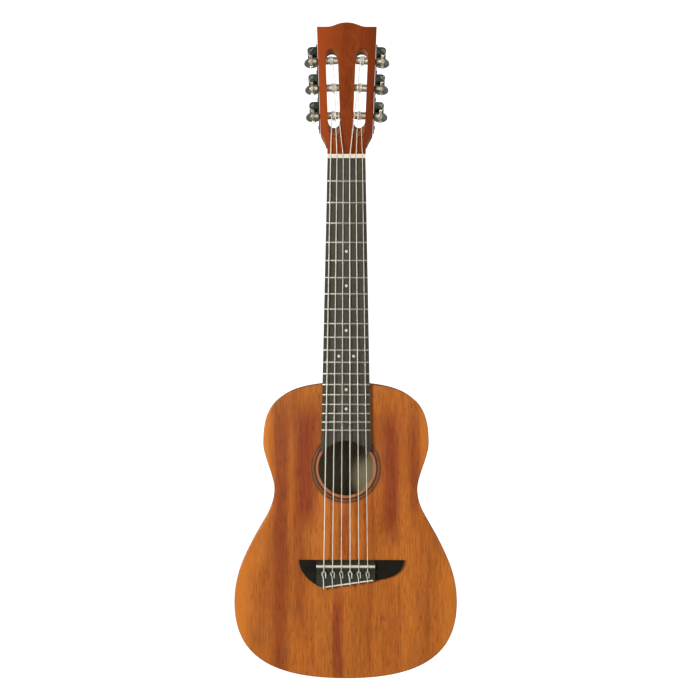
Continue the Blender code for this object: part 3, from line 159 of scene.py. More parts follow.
middle = (cad_low + cad_high) / 2
floor_z = cad_low.z - FLOOR_DROP
half_room = ROOM_SIZE / 2
stage_plane("studio_floor", Vector((-half_room, -half_room, floor_z)),
            Vector((half_room, half_room, floor_z)), studio_white("floor paint"))
stage_plane("studio_backdrop", Vector((-half_room, BACKDROP_DISTANCE, floor_z)),
            Vector((half_room, BACKDROP_DISTANCE, floor_z + ROOM_SIZE)),
            studio_white("backdrop paint"))
area_lamp("key lamp", (-1.5, -2.55, 0.2), middle, 0.45, 63)
area_lamp("fill lamp", (1.7, -2.2, 0.1), middle, 1.8, 15)

# %% [markdown]
# ## Shared effects as node groups
#
# Several woods need the same things: long fibres, short pores like pen strokes, soft clouds
# and wide stripes where the grain leans to and fro. Each effect is one group with named
# sockets, so a material reads as a short recipe. A small helper adds the sockets and nodes.

# %% Helpers for node groups
def new_group(name, inputs, outputs):
    """A shader node group with named sockets: {socket name: (socket type, default)}."""
    group = bpy.data.node_groups.new(name, "ShaderNodeTree")
    for socket, (kind, value) in inputs.items():
        made = group.interface.new_socket(socket, in_out="INPUT", socket_type="NodeSocket" + kind)
        if value is not None:
            made.default_value = value
    for socket, kind in outputs.items():
        group.interface.new_socket(socket, in_out="OUTPUT", socket_type="NodeSocket" + kind)
    return group, group.nodes.new("NodeGroupInput"), group.nodes.new("NodeGroupOutput")


def feed(tree, source, target):
    """Give a socket a constant, or a link from another socket."""
    if isinstance(source, bpy.types.NodeSocket):
        tree.links.new(source, target)
    else:
        target.default_value = source


def math_node(tree, operation, first, second=0.0):
    node = tree.nodes.new("ShaderNodeMath")
    node.operation = operation
    feed(tree, first, node.inputs[0])
    feed(tree, second, node.inputs[1])
    return node.outputs[0]


def stretched(tree, vector, scale):
    """The coordinates multiplied on each axis: a larger number makes a finer pattern."""
    node = tree.nodes.new("ShaderNodeVectorMath")
    node.operation = "MULTIPLY"
    feed(tree, vector, node.inputs[0])
    feed(tree, scale, node.inputs[1])
    return node.outputs[0]


def scaled_colour(tree, colour, factor):
    """A colour made lighter or darker by one number."""
    node = tree.nodes.new("ShaderNodeVectorMath")
    node.operation = "SCALE"
    feed(tree, colour, node.inputs[0])
    feed(tree, factor, node.inputs["Scale"])
    return node.outputs[0]


def noise(tree, vector, scale=1.0, detail=2.0, roughness=0.5):
    node = tree.nodes.new("ShaderNodeTexNoise")
    feed(tree, vector, node.inputs["Vector"])
    feed(tree, scale, node.inputs["Scale"])
    node.inputs["Detail"].default_value = detail
    node.inputs["Roughness"].default_value = roughness
    return node.outputs["Fac"]


def span(tree, value, low, high, to_low=0.0, to_high=1.0):
    """Move a value's range from low..high to another one, and clamp it."""
    node = tree.nodes.new("ShaderNodeMapRange")
    node.interpolation_type = "SMOOTHSTEP"
    feed(tree, value, node.inputs["Value"])
    feed(tree, low, node.inputs["From Min"])
    feed(tree, high, node.inputs["From Max"])
    feed(tree, to_low, node.inputs["To Min"])
    feed(tree, to_high, node.inputs["To Max"])
    return node.outputs["Result"]


def mix_colour(tree, share, first, second, blend="MIX"):
    node = tree.nodes.new("ShaderNodeMix")
    node.data_type = "RGBA"
    node.blend_type = blend
    feed(tree, share, node.inputs[0])
    feed(tree, first, node.inputs[6])
    feed(tree, second, node.inputs[7])
    return node.outputs[2]


def axes(tree, vector):
    node = tree.nodes.new("ShaderNodeSeparateXYZ")
    feed(tree, vector, node.inputs[0])
    return node.outputs[0], node.outputs[1], node.outputs[2]


# %% [markdown]
# ## The air around the instrument
#
# Polished metal shows what surrounds it, so the air isn't one even grey. It is palest in a
# level band, where a studio has its white walls, and dark overhead and underfoot.

# %% World
def make_air():
    world = bpy.data.worlds.new("studio air")
    world.use_nodes = True
    tree = world.node_tree
    direction = tree.nodes.new("ShaderNodeTexCoord").outputs["Generated"]
    _, _, up = axes(tree, direction)
    level = span(tree, math_node(tree, "ABSOLUTE", up), 0.12, 0.75, 0.46, 0.14)
    background = tree.nodes["Background"]
    background.inputs["Color"].default_value = (1, 1, 1, 1)
    tree.links.new(level, background.inputs["Strength"])
    return world


bpy.context.scene.world = make_air()

# %% [markdown]
# Wood is built from patterns that differ in scale. Stripes are wide and soft, fibres are
# a millimetre or two, and pores are short dark dashes. All are one noise texture, stretched
# along the grain by multiplying the coordinates.

# %% Group: fibres, pores and clouds
def make_fibre_group():
    group, enter, leave = new_group(
        "fibres and pores",
        {"Vector": ("Vector", None), "Fibre scale": ("Vector", (520, 520, 58)),
         "Pore scale": ("Vector", (680, 680, 85)), "Cloud scale": ("Vector", (55, 55, 17)),
         "Pore share": ("Float", 0.4)},
        {"Fibre": "Float", "Pore": "Float", "Cloud": "Float", "Height": "Float"})
    vector = enter.outputs["Vector"]
    fibre = noise(group, stretched(group, vector, enter.outputs["Fibre scale"]), 1, 3, 0.6)
    dash = noise(group, stretched(group, vector, enter.outputs["Pore scale"]), 1, 1, 0.5)
    cloud = noise(group, stretched(group, vector, enter.outputs["Cloud scale"]), 1, 3, 0.55)
    edge = math_node(group, "SUBTRACT", 0.70, math_node(group, "MULTIPLY", enter.outputs["Pore share"], 0.25))
    pore = span(group, dash, edge, math_node(group, "ADD", edge, 0.14))
    height = math_node(group, "SUBTRACT", math_node(group, "MULTIPLY", fibre, 0.35), pore)
    feed(group, span(group, fibre, 0.3, 0.7), leave.inputs["Fibre"])
    feed(group, pore, leave.inputs["Pore"])
    feed(group, span(group, cloud, 0.3, 0.7), leave.inputs["Cloud"])
    feed(group, height, leave.inputs["Height"])
    return group


fibre_group = make_fibre_group()

# %% Group: stripes of leaning grain
def make_stripe_group():
    group, enter, leave = new_group(
        "grain stripes",
        {"Vector": ("Vector", None), "Wide": ("Vector", (30, 30, 1.6)), "Narrow": ("Vector", (95, 95, 4.0)),
         "Narrow share": ("Float", 0.4)},
        {"Stripe": "Float"})
    wide = noise(group, stretched(group, enter.outputs["Vector"], enter.outputs["Wide"]), 1, 2, 0.5)
    narrow = noise(group, stretched(group, enter.outputs["Vector"], enter.outputs["Narrow"]), 1, 2, 0.5)
    share = enter.outputs["Narrow share"]
    both = math_node(group, "ADD",
                     math_node(group, "MULTIPLY", wide, math_node(group, "SUBTRACT", 1.0, share)),
                     math_node(group, "MULTIPLY", narrow, share))
    feed(group, span(group, both, 0.36, 0.64), leave.inputs["Stripe"])
    return group


stripe_group = make_stripe_group()

# %% [markdown]
# A ribbon is one band at a chosen place. It wanders a little as it runs down the
# board, fades out at both edges and ends, and its strength is a socket, so the same group
# makes the dark grain bands and the pale ones, which along the body's edges are painted light.

# %% Group: one ribbon at a chosen place
def make_ribbon_group():
    group, enter, leave = new_group(
        "ribbon",
        {"Vector": ("Vector", None), "Place": ("Float", 0.0), "Half width": ("Float", 0.006),
         "Strength": ("Float", 0.5), "From z": ("Float", -1.0), "To z": ("Float", 0.0)},
        {"Mask": "Float"})
    x, _, z = axes(group, enter.outputs["Vector"])
    wander = noise(group, stretched(group, enter.outputs["Vector"], (0, 0, 11)), 1, 2, 0.5)
    bend = math_node(group, "MULTIPLY", math_node(group, "SUBTRACT", wander, 0.5), 0.008)
    fray = noise(group, stretched(group, enter.outputs["Vector"], (420, 420, 14)), 1, 2, 0.5)
    fray = math_node(group, "MULTIPLY", math_node(group, "SUBTRACT", fray, 0.5), 0.010)
    bent = math_node(group, "ADD", math_node(group, "ADD", x, bend), fray)
    off = math_node(group, "ABSOLUTE", math_node(group, "SUBTRACT", bent, enter.outputs["Place"]))
    inside = span(group, off, math_node(group, "MULTIPLY", enter.outputs["Half width"], 0.3),
                  math_node(group, "MULTIPLY", enter.outputs["Half width"], 1.7), 1.0, 0.0)
    start = span(group, z, math_node(group, "SUBTRACT", enter.outputs["From z"], 0.02),
                 math_node(group, "ADD", enter.outputs["From z"], 0.02))
    stop = span(group, z, math_node(group, "SUBTRACT", enter.outputs["To z"], 0.02),
                math_node(group, "ADD", enter.outputs["To z"], 0.02), 1.0, 0.0)
    mask = math_node(group, "MULTIPLY", math_node(group, "MULTIPLY", inside, start), stop)
    feed(group, math_node(group, "MULTIPLY", mask, enter.outputs["Strength"]), leave.inputs["Mask"])
    return group


ribbon_group = make_ribbon_group()

# %% [markdown]
# Nothing that is handled stays evenly shiny. A weak cloud of smudges in the roughness makes
# lacquer and plating look touched, and it costs one noise texture.

# %% Group: smudges
def make_smudge_group():
    group, enter, leave = new_group(
        "smudges",
        {"Vector": ("Vector", None), "Scale": ("Float", 40.0), "Low": ("Float", 0.3),
         "High": ("Float", 0.45)},
        {"Roughness": "Float"})
    cloud = noise(group, enter.outputs["Vector"], enter.outputs["Scale"], 4, 0.6)
    feed(group, span(group, cloud, 0.35, 0.65, enter.outputs["Low"], enter.outputs["High"]),
         leave.inputs["Roughness"])
    return group


smudge_group = make_smudge_group()

# %% Helpers for materials
def new_material(name, colour, roughness, metallic=0.0, specular=0.5):
    """A material with its Principled shader, its tree and its Object coordinates."""
    made = bpy.data.materials.new(name)
    made.use_nodes = True
    made.diffuse_color = (*colour, 1)
    tree = made.node_tree
    shader = tree.nodes["Principled BSDF"]
    shader.inputs["Base Color"].default_value = (*colour, 1)
    shader.inputs["Roughness"].default_value = roughness
    shader.inputs["Metallic"].default_value = metallic
    shader.inputs["Specular IOR Level"].default_value = specular
    place = tree.nodes.new("ShaderNodeTexCoord").outputs["Object"]
    return made, tree, shader, place


def add_group(tree, group, **values):
    """Place a group and fill its sockets; an underscore in a keyword stands for a space."""
    node = tree.nodes.new("ShaderNodeGroup")
    node.node_tree = group
    for name, value in values.items():
        feed(tree, value, node.inputs[name.replace("_", " ")])
    return node


def bump(tree, shader, height, distance, strength=1.0):
    node = tree.nodes.new("ShaderNodeBump")
    node.inputs["Distance"].default_value = distance
    node.inputs["Strength"].default_value = strength
    feed(tree, height, node.inputs["Height"])
    tree.links.new(node.outputs["Normal"], shader.inputs["Normal"])


def wood_material(name, light, mid, dark, grain=(1, 1, 1), fibre=0.14, stripe=0.5, pores=0.4,
                  gloss=(0.30, 0.40), specular=0.25):
    """Striped, fibrous wood whose grain runs along the axis that the grain vector stretches."""
    made, tree, shader, place = new_material(name, mid, gloss[0], 0.0, specular)
    turned = stretched(tree, place, grain)
    fibres = add_group(tree, fibre_group, Vector=turned, Pore_share=pores)
    stripes = add_group(tree, stripe_group, Vector=turned)
    colour = mix_colour(tree, stripes.outputs["Stripe"], (*dark, 1), (*light, 1))
    colour = mix_colour(tree, 1 - stripe, colour, (*mid, 1))
    shade = span(tree, fibres.outputs["Fibre"], 0.0, 1.0, 1 - fibre, 1 + fibre * 0.7)
    cloud = span(tree, fibres.outputs["Cloud"], 0.0, 1.0, 0.93, 1.06)
    tone = scaled_colour(tree, scaled_colour(tree, colour, shade), cloud)
    pore_dark = mix_colour(tree, math_node(tree, "MULTIPLY", fibres.outputs["Pore"], 0.5),
                           tone, (dark[0] * 0.4, dark[1] * 0.33, dark[2] * 0.33, 1))
    smudges = add_group(tree, smudge_group, Vector=place, Scale=22.0, Low=gloss[0], High=gloss[1])
    feed(tree, pore_dark, shader.inputs["Base Color"])
    feed(tree, smudges.outputs["Roughness"], shader.inputs["Roughness"])
    bump(tree, shader, fibres.outputs["Height"], 0.00005)
    return made, tree, shader, place


def base_colour(shader):
    """The socket that feeds the shader's colour, to mix more on top of it."""
    return shader.inputs["Base Color"].links[0].from_socket


# %% [markdown]
# ## The woods
#
# The top is mahogany cut so that its grain leans to and fro, which shows as ribbons. Random
# stripes give the general look, and a few ribbons are placed where this top has them: one
# beside the centre seam, and wide red ones that run past the waist on each side. Paler bands
# along the body's edges, strongest on the left, are painted light.

# %% Mahogany for the top
TOP_LIGHT = (0.53, 0.158, 0.016)
TOP_MID = (0.460, 0.124, 0.011)
TOP_DARK = (0.36, 0.082, 0.009)
# The next colour is for the painted edge light and the two pale grain bands.
PALE_GRAIN_AND_EDGE_LIGHT_COLOUR = (0.67, 0.198, 0.018)
RIBBON_TINT = (0.58, 0.35, 0.55)
# Each ribbon: place across in mm, half width in mm, strength, lowest and highest place in metres
TOP_RIBBONS = (
    (-69.5, 7.5, 0.66, -0.560, -0.270),
    (-43.0, 11.0, 1.00, -0.385, -0.268),
    (64.0, 6.0, 0.35, -0.360, -0.275),
    (-50.0, 5.5, 0.50, -0.500, -0.380),
    (-29.0, 6.0, 0.40, -0.350, -0.262),
    (-8.0, 5.5, 0.92, -0.560, -0.462),
    (-0.5, 3.2, 0.70, -0.425, -0.370),
    (47.5, 9.0, 0.95, -0.400, -0.272),
    (73.0, 5.0, 0.55, -0.380, -0.275),
    (30.0, 7.0, 0.35, -0.420, -0.262),
    (25.5, 2.4, 0.45, -0.545, -0.455),
    (56.5, 2.8, 0.42, -0.545, -0.450),
    (88.0, 2.4, 0.35, -0.520, -0.430),
    (-34.0, 2.4, 0.30, -0.550, -0.470),
    (-90.0, 4.0, 0.25, -0.530, -0.430),
)
# Pale bands: the five along the body's edges, strongest on the bass side where the key lamp hangs, are
# painted light; the two faint inner ones are pale grain.
PALE_GRAIN_AND_EDGE_LIGHT_BANDS = (
    (-86.0, 7.5, 0.85, -0.385, -0.262),
    (-112.0, 10.0, 0.75, -0.535, -0.415),
    (-97.0, 9.0, 0.35, -0.440, -0.390),
    (86.0, 7.0, 0.45, -0.330, -0.262),
    (113.0, 9.0, 0.35, -0.530, -0.430),
    (-57.0, 3.0, 0.25, -0.400, -0.290),
    (62.0, 4.0, 0.25, -0.360, -0.280),
)
HOLE_CENTRE = Vector((0, 0, -328.97)) * MM
LIP_FROM = 31.6 * MM
LIP_TO = 32.0 * MM
INNER_LINE_TO = 32.3 * MM
DARK_STRIP = (0.070, 0.027, 0.010)
LINE_FADES_FROM = 34.0 * MM
LINE_FADES_TO = 36.0 * MM
SEAM_DARK_TO = 0.1 * MM
SEAM_CLEAR_FROM = 0.5 * MM


def distance_from_hole(tree, place):
    x, _, z = axes(tree, place)
    off_x = math_node(tree, "SUBTRACT", x, HOLE_CENTRE.x)
    off_z = math_node(tree, "SUBTRACT", z, HOLE_CENTRE.z)
    squares = math_node(tree, "ADD", math_node(tree, "MULTIPLY", off_x, off_x),
                        math_node(tree, "MULTIPLY", off_z, off_z))
    return math_node(tree, "SQRT", squares)


def add_ribbons(tree, place, colour, ribbons, tint, blend):
    for x, half_width, strength, low, high in ribbons:
        ribbon = add_group(tree, ribbon_group, Vector=place, Place=x * MM, Half_width=half_width * MM,
                           Strength=strength, From_z=low, To_z=high)
        colour = mix_colour(tree, ribbon.outputs["Mask"], colour, (*tint, 1), blend)
    return colour


def make_top_wood():
    made, tree, shader, place = wood_material("top mahogany", TOP_LIGHT, TOP_MID, TOP_DARK, pores=0.5)
    # Painted light: pale bands along the top's edges, then the dark grain ribbons.
    colour = add_ribbons(tree, place, base_colour(shader), PALE_GRAIN_AND_EDGE_LIGHT_BANDS, PALE_GRAIN_AND_EDGE_LIGHT_COLOUR, "MIX")
    colour = add_ribbons(tree, place, colour, TOP_RIBBONS, RIBBON_TINT, "MULTIPLY")
    from_hole = distance_from_hole(tree, place)
    line = span(tree, from_hole, LIP_TO, INNER_LINE_TO)
    beyond = span(tree, from_hole, LINE_FADES_FROM, LINE_FADES_TO, 1.0, 0.0)
    colour = mix_colour(tree, math_node(tree, "MULTIPLY", line, beyond), colour, (*DARK_STRIP, 1))
    lip = span(tree, from_hole, LIP_FROM, LIP_TO, 0.85, 0.0)
    colour = mix_colour(tree, lip, colour, (0.40, 0.165, 0.080, 1))
    across, _, _ = axes(tree, place)
    seam = span(tree, math_node(tree, "ABSOLUTE", across), SEAM_DARK_TO, SEAM_CLEAR_FROM, 0.35, 0.0)
    colour = mix_colour(tree, seam, colour, (*TOP_DARK, 1))
    feed(tree, colour, shader.inputs["Base Color"])
    return made


top_wood = make_top_wood()

# %% [markdown]
# The sides are bent strips, so their grain runs round the body and the stripes lie across its
# depth. Stretching Y instead of Z turns the same recipe that way. The back's inner face is
# bare and pale, which is what shows through the sound hole.

# %% Mahogany for the sides, back, neck and headstock
side_wood, *_ = wood_material("side mahogany", (0.42, 0.125, 0.022), (0.33, 0.090, 0.015),
                              (0.22, 0.052, 0.010), (0.055, 1.0, 0.055), stripe=0.8)
neck_wood, *_ = wood_material("neck mahogany", (0.58, 0.240, 0.075), (0.49, 0.185, 0.055),
                              (0.38, 0.130, 0.036), stripe=0.7, gloss=(0.34, 0.46))


def make_back_wood():
    made, tree, shader, place = wood_material(
        "back mahogany", (0.42, 0.125, 0.022), (0.33, 0.090, 0.015), (0.22, 0.052, 0.010), stripe=0.8)
    across, depth, _ = axes(tree, place)
    low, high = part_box("back")
    outside = span(tree, depth, low.y + 0.2 * MM, low.y + 0.6 * MM)
    colour = mix_colour(tree, outside, (0.30, 0.245, 0.130, 1), base_colour(shader))
    seam = span(tree, math_node(tree, "ABSOLUTE", across), SEAM_DARK_TO, SEAM_CLEAR_FROM, 0.5, 0.0)
    feed(tree, mix_colour(tree, seam, colour, (0.10, 0.03, 0.01, 1)), shader.inputs["Base Color"])
    return made


def make_headplate_wood():
    made, tree, shader, place = wood_material(
        "headplate mahogany", (0.275, 0.052, 0.010), (0.235, 0.043, 0.008), (0.185, 0.032, 0.006),
        stripe=0.6, pores=0.25, specular=0.10)
    # Painted light and shade: the headplate's bass side is painted lighter and its treble side darker,
    # standing in for light from the left.
    across, _, _ = axes(tree, place)
    painted_light_left = span(tree, across, -0.031, 0.004, 0.85, 0.0)
    colour = mix_colour(tree, painted_light_left, base_colour(shader), (0.385, 0.066, 0.012, 1))
    painted_shade_right = span(tree, across, 0.006, 0.032, 0.0, 0.6)
    feed(tree, mix_colour(tree, painted_shade_right, colour, (0.175, 0.026, 0.006, 1)), shader.inputs["Base Color"])
    return made


back_wood = make_back_wood()
headplate_wood = make_headplate_wood()

# %% Spruce inside, and the dark woods of the fretboard and bridge
brace_wood, *_ = wood_material("brace spruce", (0.36, 0.24, 0.12), (0.30, 0.19, 0.09), (0.22, 0.13, 0.06),
                               stripe=0.6, pores=0.0, gloss=(0.6, 0.75))
fretboard_wood, *_ = wood_material("fretboard wood", (0.075, 0.067, 0.045), (0.056, 0.050, 0.033),
                                   (0.036, 0.032, 0.021), stripe=0.7, pores=0.5, gloss=(0.42, 0.56),
                                   specular=0.2)


def make_bridge_wood():
    made, tree, shader, place = wood_material(
        "black bridge wood", (0.013, 0.012, 0.008), (0.009, 0.0085, 0.005), (0.006, 0.0055, 0.003),
        (0.1, 1.0, 1.0), fibre=0.3, stripe=0.6, pores=0.3, gloss=(0.42, 0.54), specular=0.08)
    across, _, _ = axes(tree, place)
    # The middle of the bridge, across the tie block, is painted a lighter grey-green than its black wings.
    lighter_middle = span(tree, math_node(tree, "ABSOLUTE", across), 30.9 * MM, 31.2 * MM, 1.0, 0.0)
    feed(tree, mix_colour(tree, lighter_middle, base_colour(shader), (0.036, 0.038, 0.026, 1)),
         shader.inputs["Base Color"])
    return made


bridge_wood = make_bridge_wood()

# %% [markdown]
# ## The rosette
#
# The ring round the sound hole is strips of dark and brown veneer laid in a channel. The
# distance from the hole's centre, through one colour ramp, gives all the rings at once.

# %% Rosette rings
RING_INNER = 32.7 * MM
RING_OUTER = 38.2 * MM
BROWN_STRIP = (0.22, 0.072, 0.022)
RINGS = ((0.00, DARK_STRIP), (0.13, BROWN_STRIP), (0.37, (0.32, 0.120, 0.045)), (0.46, BROWN_STRIP),
         (0.60, DARK_STRIP), (0.82, (0.26, 0.078, 0.018)))


def make_rosette_finish():
    made, tree, shader, place = new_material("rosette rings", (0.2, 0.08, 0.03), 0.36, 0.0, 0.25)
    share = span(tree, distance_from_hole(tree, place), RING_INNER, RING_OUTER)
    ramp = tree.nodes.new("ShaderNodeValToRGB")
    ramp.color_ramp.interpolation = "CONSTANT"
    steps = ramp.color_ramp.elements
    while len(steps) < len(RINGS):
        steps.new(0.5)
    for step, (position, colour) in zip(steps, RINGS):
        step.position = position
        step.color = (*colour, 1)
    feed(tree, share, ramp.inputs["Fac"])
    fibres = add_group(tree, fibre_group, Vector=place)
    shade = span(tree, fibres.outputs["Fibre"], 0, 1, 0.8, 1.1)
    feed(tree, scaled_colour(tree, ramp.outputs["Color"], shade), shader.inputs["Base Color"])
    return made


rosette_finish = make_rosette_finish()

# %% [markdown]
# ## Bone, nylon and metals
#
# The knobs and worms are bright plating. The machines' plates with their lugs are a darkened
# copy of it, painted a dark greenish grey that stands in for the dark reflections on them. The
# rollers and gears are warmer and paler.

# %% Bone, nylon, wire and plating
def make_bone():
    made, tree, shader, place = new_material("polished bone", (0.86, 0.80, 0.64), 0.3, 0.0, 0.3)
    cloud = noise(tree, stretched(tree, place, (60, 200, 200)), 1, 3)
    feed(tree, mix_colour(tree, cloud, (0.90, 0.84, 0.69, 1), (0.80, 0.73, 0.56, 1)),
         shader.inputs["Base Color"])
    smudges = add_group(tree, smudge_group, Vector=place, Scale=150.0, Low=0.22, High=0.36)
    feed(tree, smudges.outputs["Roughness"], shader.inputs["Roughness"])
    return made


def make_nylon():
    made, tree, shader, place = new_material("clear nylon", (0.88, 0.84, 0.72), 0.25, 0.0, 0.4)
    cloud = noise(tree, stretched(tree, place, (300, 300, 12)), 1, 2)
    feed(tree, mix_colour(tree, cloud, (0.94, 0.90, 0.79, 1), (0.80, 0.75, 0.62, 1)),
         shader.inputs["Base Color"])
    shader.inputs["Coat Weight"].default_value = 0.3
    shader.inputs["Coat Roughness"].default_value = 0.12
    return made


def make_metal(name, light, dark, low, high, scale=60.0):
    made, tree, shader, place = new_material(name, light, low, 1.0)
    cloud = noise(tree, place, scale, 3, 0.6)
    colour = mix_colour(tree, span(tree, cloud, 0.35, 0.65), (*dark, 1), (*light, 1))
    feed(tree, colour, shader.inputs["Base Color"])
    smudges = add_group(tree, smudge_group, Vector=place, Scale=scale * 3, Low=low, High=high)
    feed(tree, smudges.outputs["Roughness"], shader.inputs["Roughness"])
    return made


def make_wound_wire():
    made, tree, shader, place = new_material("silvered winding", (0.86, 0.82, 0.72), 0.36, 0.2)
    _, _, z = axes(tree, place)
    turns = math_node(tree, "SINE", math_node(tree, "MULTIPLY", z, 2 * math.pi / (0.35 * MM)))
    bump(tree, shader, math_node(tree, "MULTIPLY", turns, 0.5), 0.00004)
    cloud = noise(tree, stretched(tree, place, (300, 300, 20)), 1, 2)
    feed(tree, mix_colour(tree, cloud, (0.95, 0.92, 0.83, 1), (0.84, 0.80, 0.70, 1)),
         shader.inputs["Base Color"])
    return made


def make_pearl():
    made, tree, shader, place = new_material("pearl", (0.66, 0.65, 0.54), 0.3)
    cloud = noise(tree, place, 700, 3, 0.6)
    feed(tree, mix_colour(tree, cloud, (0.78, 0.77, 0.66, 1), (0.50, 0.52, 0.42, 1)),
         shader.inputs["Base Color"])
    return made


bone = make_bone()
nylon = make_nylon()
wound_wire = make_wound_wire()
pearl = make_pearl()
chrome = make_metal("knob plating", (0.88, 0.89, 0.79), (0.58, 0.59, 0.50), 0.08, 0.18)
# Painted shade: the same plating as the knobs, darkened to stand in for the dark reflections on the lugs and
# plates.
darkened_lug_plating = make_metal("lug plating painted dark", (0.22, 0.23, 0.18), (0.12, 0.125, 0.095), 0.20, 0.34)
roller_metal = make_metal("roller plating", (0.76, 0.70, 0.55), (0.60, 0.55, 0.42), 0.40, 0.52)
nickel = make_metal("fret wire", (0.64, 0.62, 0.52), (0.52, 0.50, 0.42), 0.38, 0.50, 90.0)

# %% [markdown]
# ## Dressing the solids
#
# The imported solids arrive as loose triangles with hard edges. Modifiers on top of them do
# what sandpaper does: Weld joins the triangles, Bevel breaks the sharp edges, and Edge Split
# keeps the remaining corners crisp while the curved walls shade smoothly. Weighted Normal
# lets the large faces rule, so a flat board beside a small bevel still shades flat.

# %% Finish and soften each solid
def dress(name, finish, bevel=0.0, crisp=35):
    """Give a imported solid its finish, smooth curved walls and, where asked, broken edges."""
    piece = nodes[name]
    piece.data.materials.clear()
    piece.data.materials.append(finish)
    piece.data.shade_smooth()
    weld = piece.modifiers.new("join triangles", "WELD")
    weld.merge_threshold = 0.002 * MM
    if bevel:
        edge = piece.modifiers.new("broken edges", "BEVEL")
        edge.width = bevel
        edge.segments = 2
        edge.limit_method = "ANGLE"
        edge.angle_limit = math.radians(40)
        edge.harden_normals = False
    split = piece.modifiers.new("crisp corners", "EDGE_SPLIT")
    split.split_angle = math.radians(50 if bevel else crisp)
    normals = piece.modifiers.new("flat faces stay flat", "WEIGHTED_NORMAL")
    normals.keep_sharp = True


def named(start):
    return tuple(name for name in nodes if name.startswith(start))


DRESSING = (
    (("soundboard",), top_wood, 0.0),
    (("back",), back_wood, 0.0),
    (("side_bass", "side_treble"), side_wood, 0.0),
    (("neck",), neck_wood, 0.0),
    (("headplate",), headplate_wood, 0.35 * MM),
    (("fretboard",), fretboard_wood, 0.0),
    (("bridge",), bridge_wood, 0.25 * MM),
    (("rosette",), rosette_finish, 0.0),
    (("nut", "tie_strip"), bone, 0.15 * MM),
    (("saddle",), bone, 0.3 * MM),
    (named("machine_plate_"), darkened_lug_plating, 0.3 * MM),
    (named("lining_"), brace_wood, 0.0),
    (tuple(name for name in nodes if "brace" in name), brace_wood, 0.5 * MM),
    (("neck_block", "tail_block", "bridge_plate"), brace_wood, 0.3 * MM),
    (named("roller_"), roller_metal, 0.25 * MM),
    (named("gear_"), roller_metal, 0.12 * MM),
    (named("worm_"), chrome, 0.0),
    (named("button_"), chrome, 0.0),
    (named("string_"), nylon, 0.0),
)
for names, finish, bevel in DRESSING:
    for name in names:
        dress(name, finish, bevel)
undressed = sorted(set(nodes) - {name for names, *_ in DRESSING for name in names})
print("solids without a finish:", undressed)

# %% [markdown]
# ## Helpers for new pieces
#
# A new piece is a bmesh that becomes an object. It rides on the body that carries it, and the
# solid that it stands for, if there is one, is hidden.

# %% Making pieces
def finished(name, mesh, finish, body="instrument", replaced=None, crisp=35):
    """Turn a bmesh into a piece with its finish, carried by a body."""
    bmesh.ops.recalc_face_normals(mesh, faces=mesh.faces)
    data = bpy.data.meshes.new(name)
    mesh.to_mesh(data)
    mesh.free()
    data.shade_smooth()
    data.set_sharp_from_angle(angle=math.radians(crisp))
    made = bpy.data.objects.new(name, data)
    bpy.context.scene.collection.objects.link(made)
    data.materials.append(finish)
    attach(made, body)
    if replaced:
        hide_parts(replaced)


def rod(mesh, place, length, radius_across, radius_up, sides):
    """An elliptical rod along the place's Z axis."""
    flat = Matrix.Diagonal((radius_across, radius_up, 1, 1))
    bmesh.ops.create_cone(mesh, cap_ends=True, cap_tris=False, segments=sides, radius1=1, radius2=1,
                          depth=length, matrix=place @ flat)


def loft(mesh, rings, round_again=False):
    """Join rings of equal count into one closed skin, with caps or back to the first ring."""
    rows = [[mesh.verts.new(point) for point in ring] for ring in rings]
    if round_again:
        rows.append(rows[0])
    for row, following in zip(rows, rows[1:]):
        for index, corner in enumerate(row):
            beside = (index + 1) % len(row)
            mesh.faces.new((corner, row[beside], following[beside], following[index]))
    if not round_again:
        mesh.faces.new(rows[0])
        mesh.faces.new(rows[-1])


def smooth_stations(stations, steps):
    """Values on a smooth curve through a list of stations, each a tuple or a Vector."""
    stations = [Vector(station) for station in stations]
    points = []
    for index in range(len(stations) - 1):
        start = stations[index]
        end = stations[index + 1]
        before = stations[index - 1] if index else start
        after = stations[index + 2] if index + 2 < len(stations) else end
        handles = (start + (end - before) / 6, end - (after - start) / 6)
        for step in range(steps):
            t = step / steps
            rest = 1 - t
            points.append(start * rest ** 3 + handles[0] * 3 * rest ** 2 * t
                          + handles[1] * 3 * rest * t ** 2 + end * t ** 3)
    return points + [stations[-1]]


# %% [markdown]
# ## The body's shell
#
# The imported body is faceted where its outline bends, so a smoother shell stands for it. Half
# the outline is four cubic curves between the places where the body is widest and narrowest.
# A plate is a stack of rings with equally many points, joined like the hoops of a barrel.

# %% Outline of the body
BODY_TOP = -238.62 * MM
BODY_TAIL = -552.92 * MM
UPPER_BOUT = Vector((88.1, -302.22)) * MM
WAIST = Vector((76.1, -351.72)) * MM
LOWER_BOUT = Vector((118.4, -471.42)) * MM
OUTLINE_STEPS = 28


def up_by(length):
    return Vector((0, length * MM))


OUTLINE_CURVES = (
    (Vector((0, BODY_TOP)), Vector((75.5 * MM, BODY_TOP)), UPPER_BOUT + up_by(39.3), UPPER_BOUT),
    (UPPER_BOUT, UPPER_BOUT - up_by(14.5), WAIST + up_by(14.4), WAIST),
    (WAIST, WAIST - up_by(33.3), LOWER_BOUT + up_by(56.6), LOWER_BOUT),
    (LOWER_BOUT, LOWER_BOUT - up_by(51.1), Vector((88.5 * MM, BODY_TAIL)), Vector((0, BODY_TAIL))),
)


def curve_point(curve, t):
    start, first, second, end = curve
    rest = 1 - t
    return start * rest ** 3 + first * 3 * rest ** 2 * t + second * 3 * rest * t ** 2 + end * t ** 3


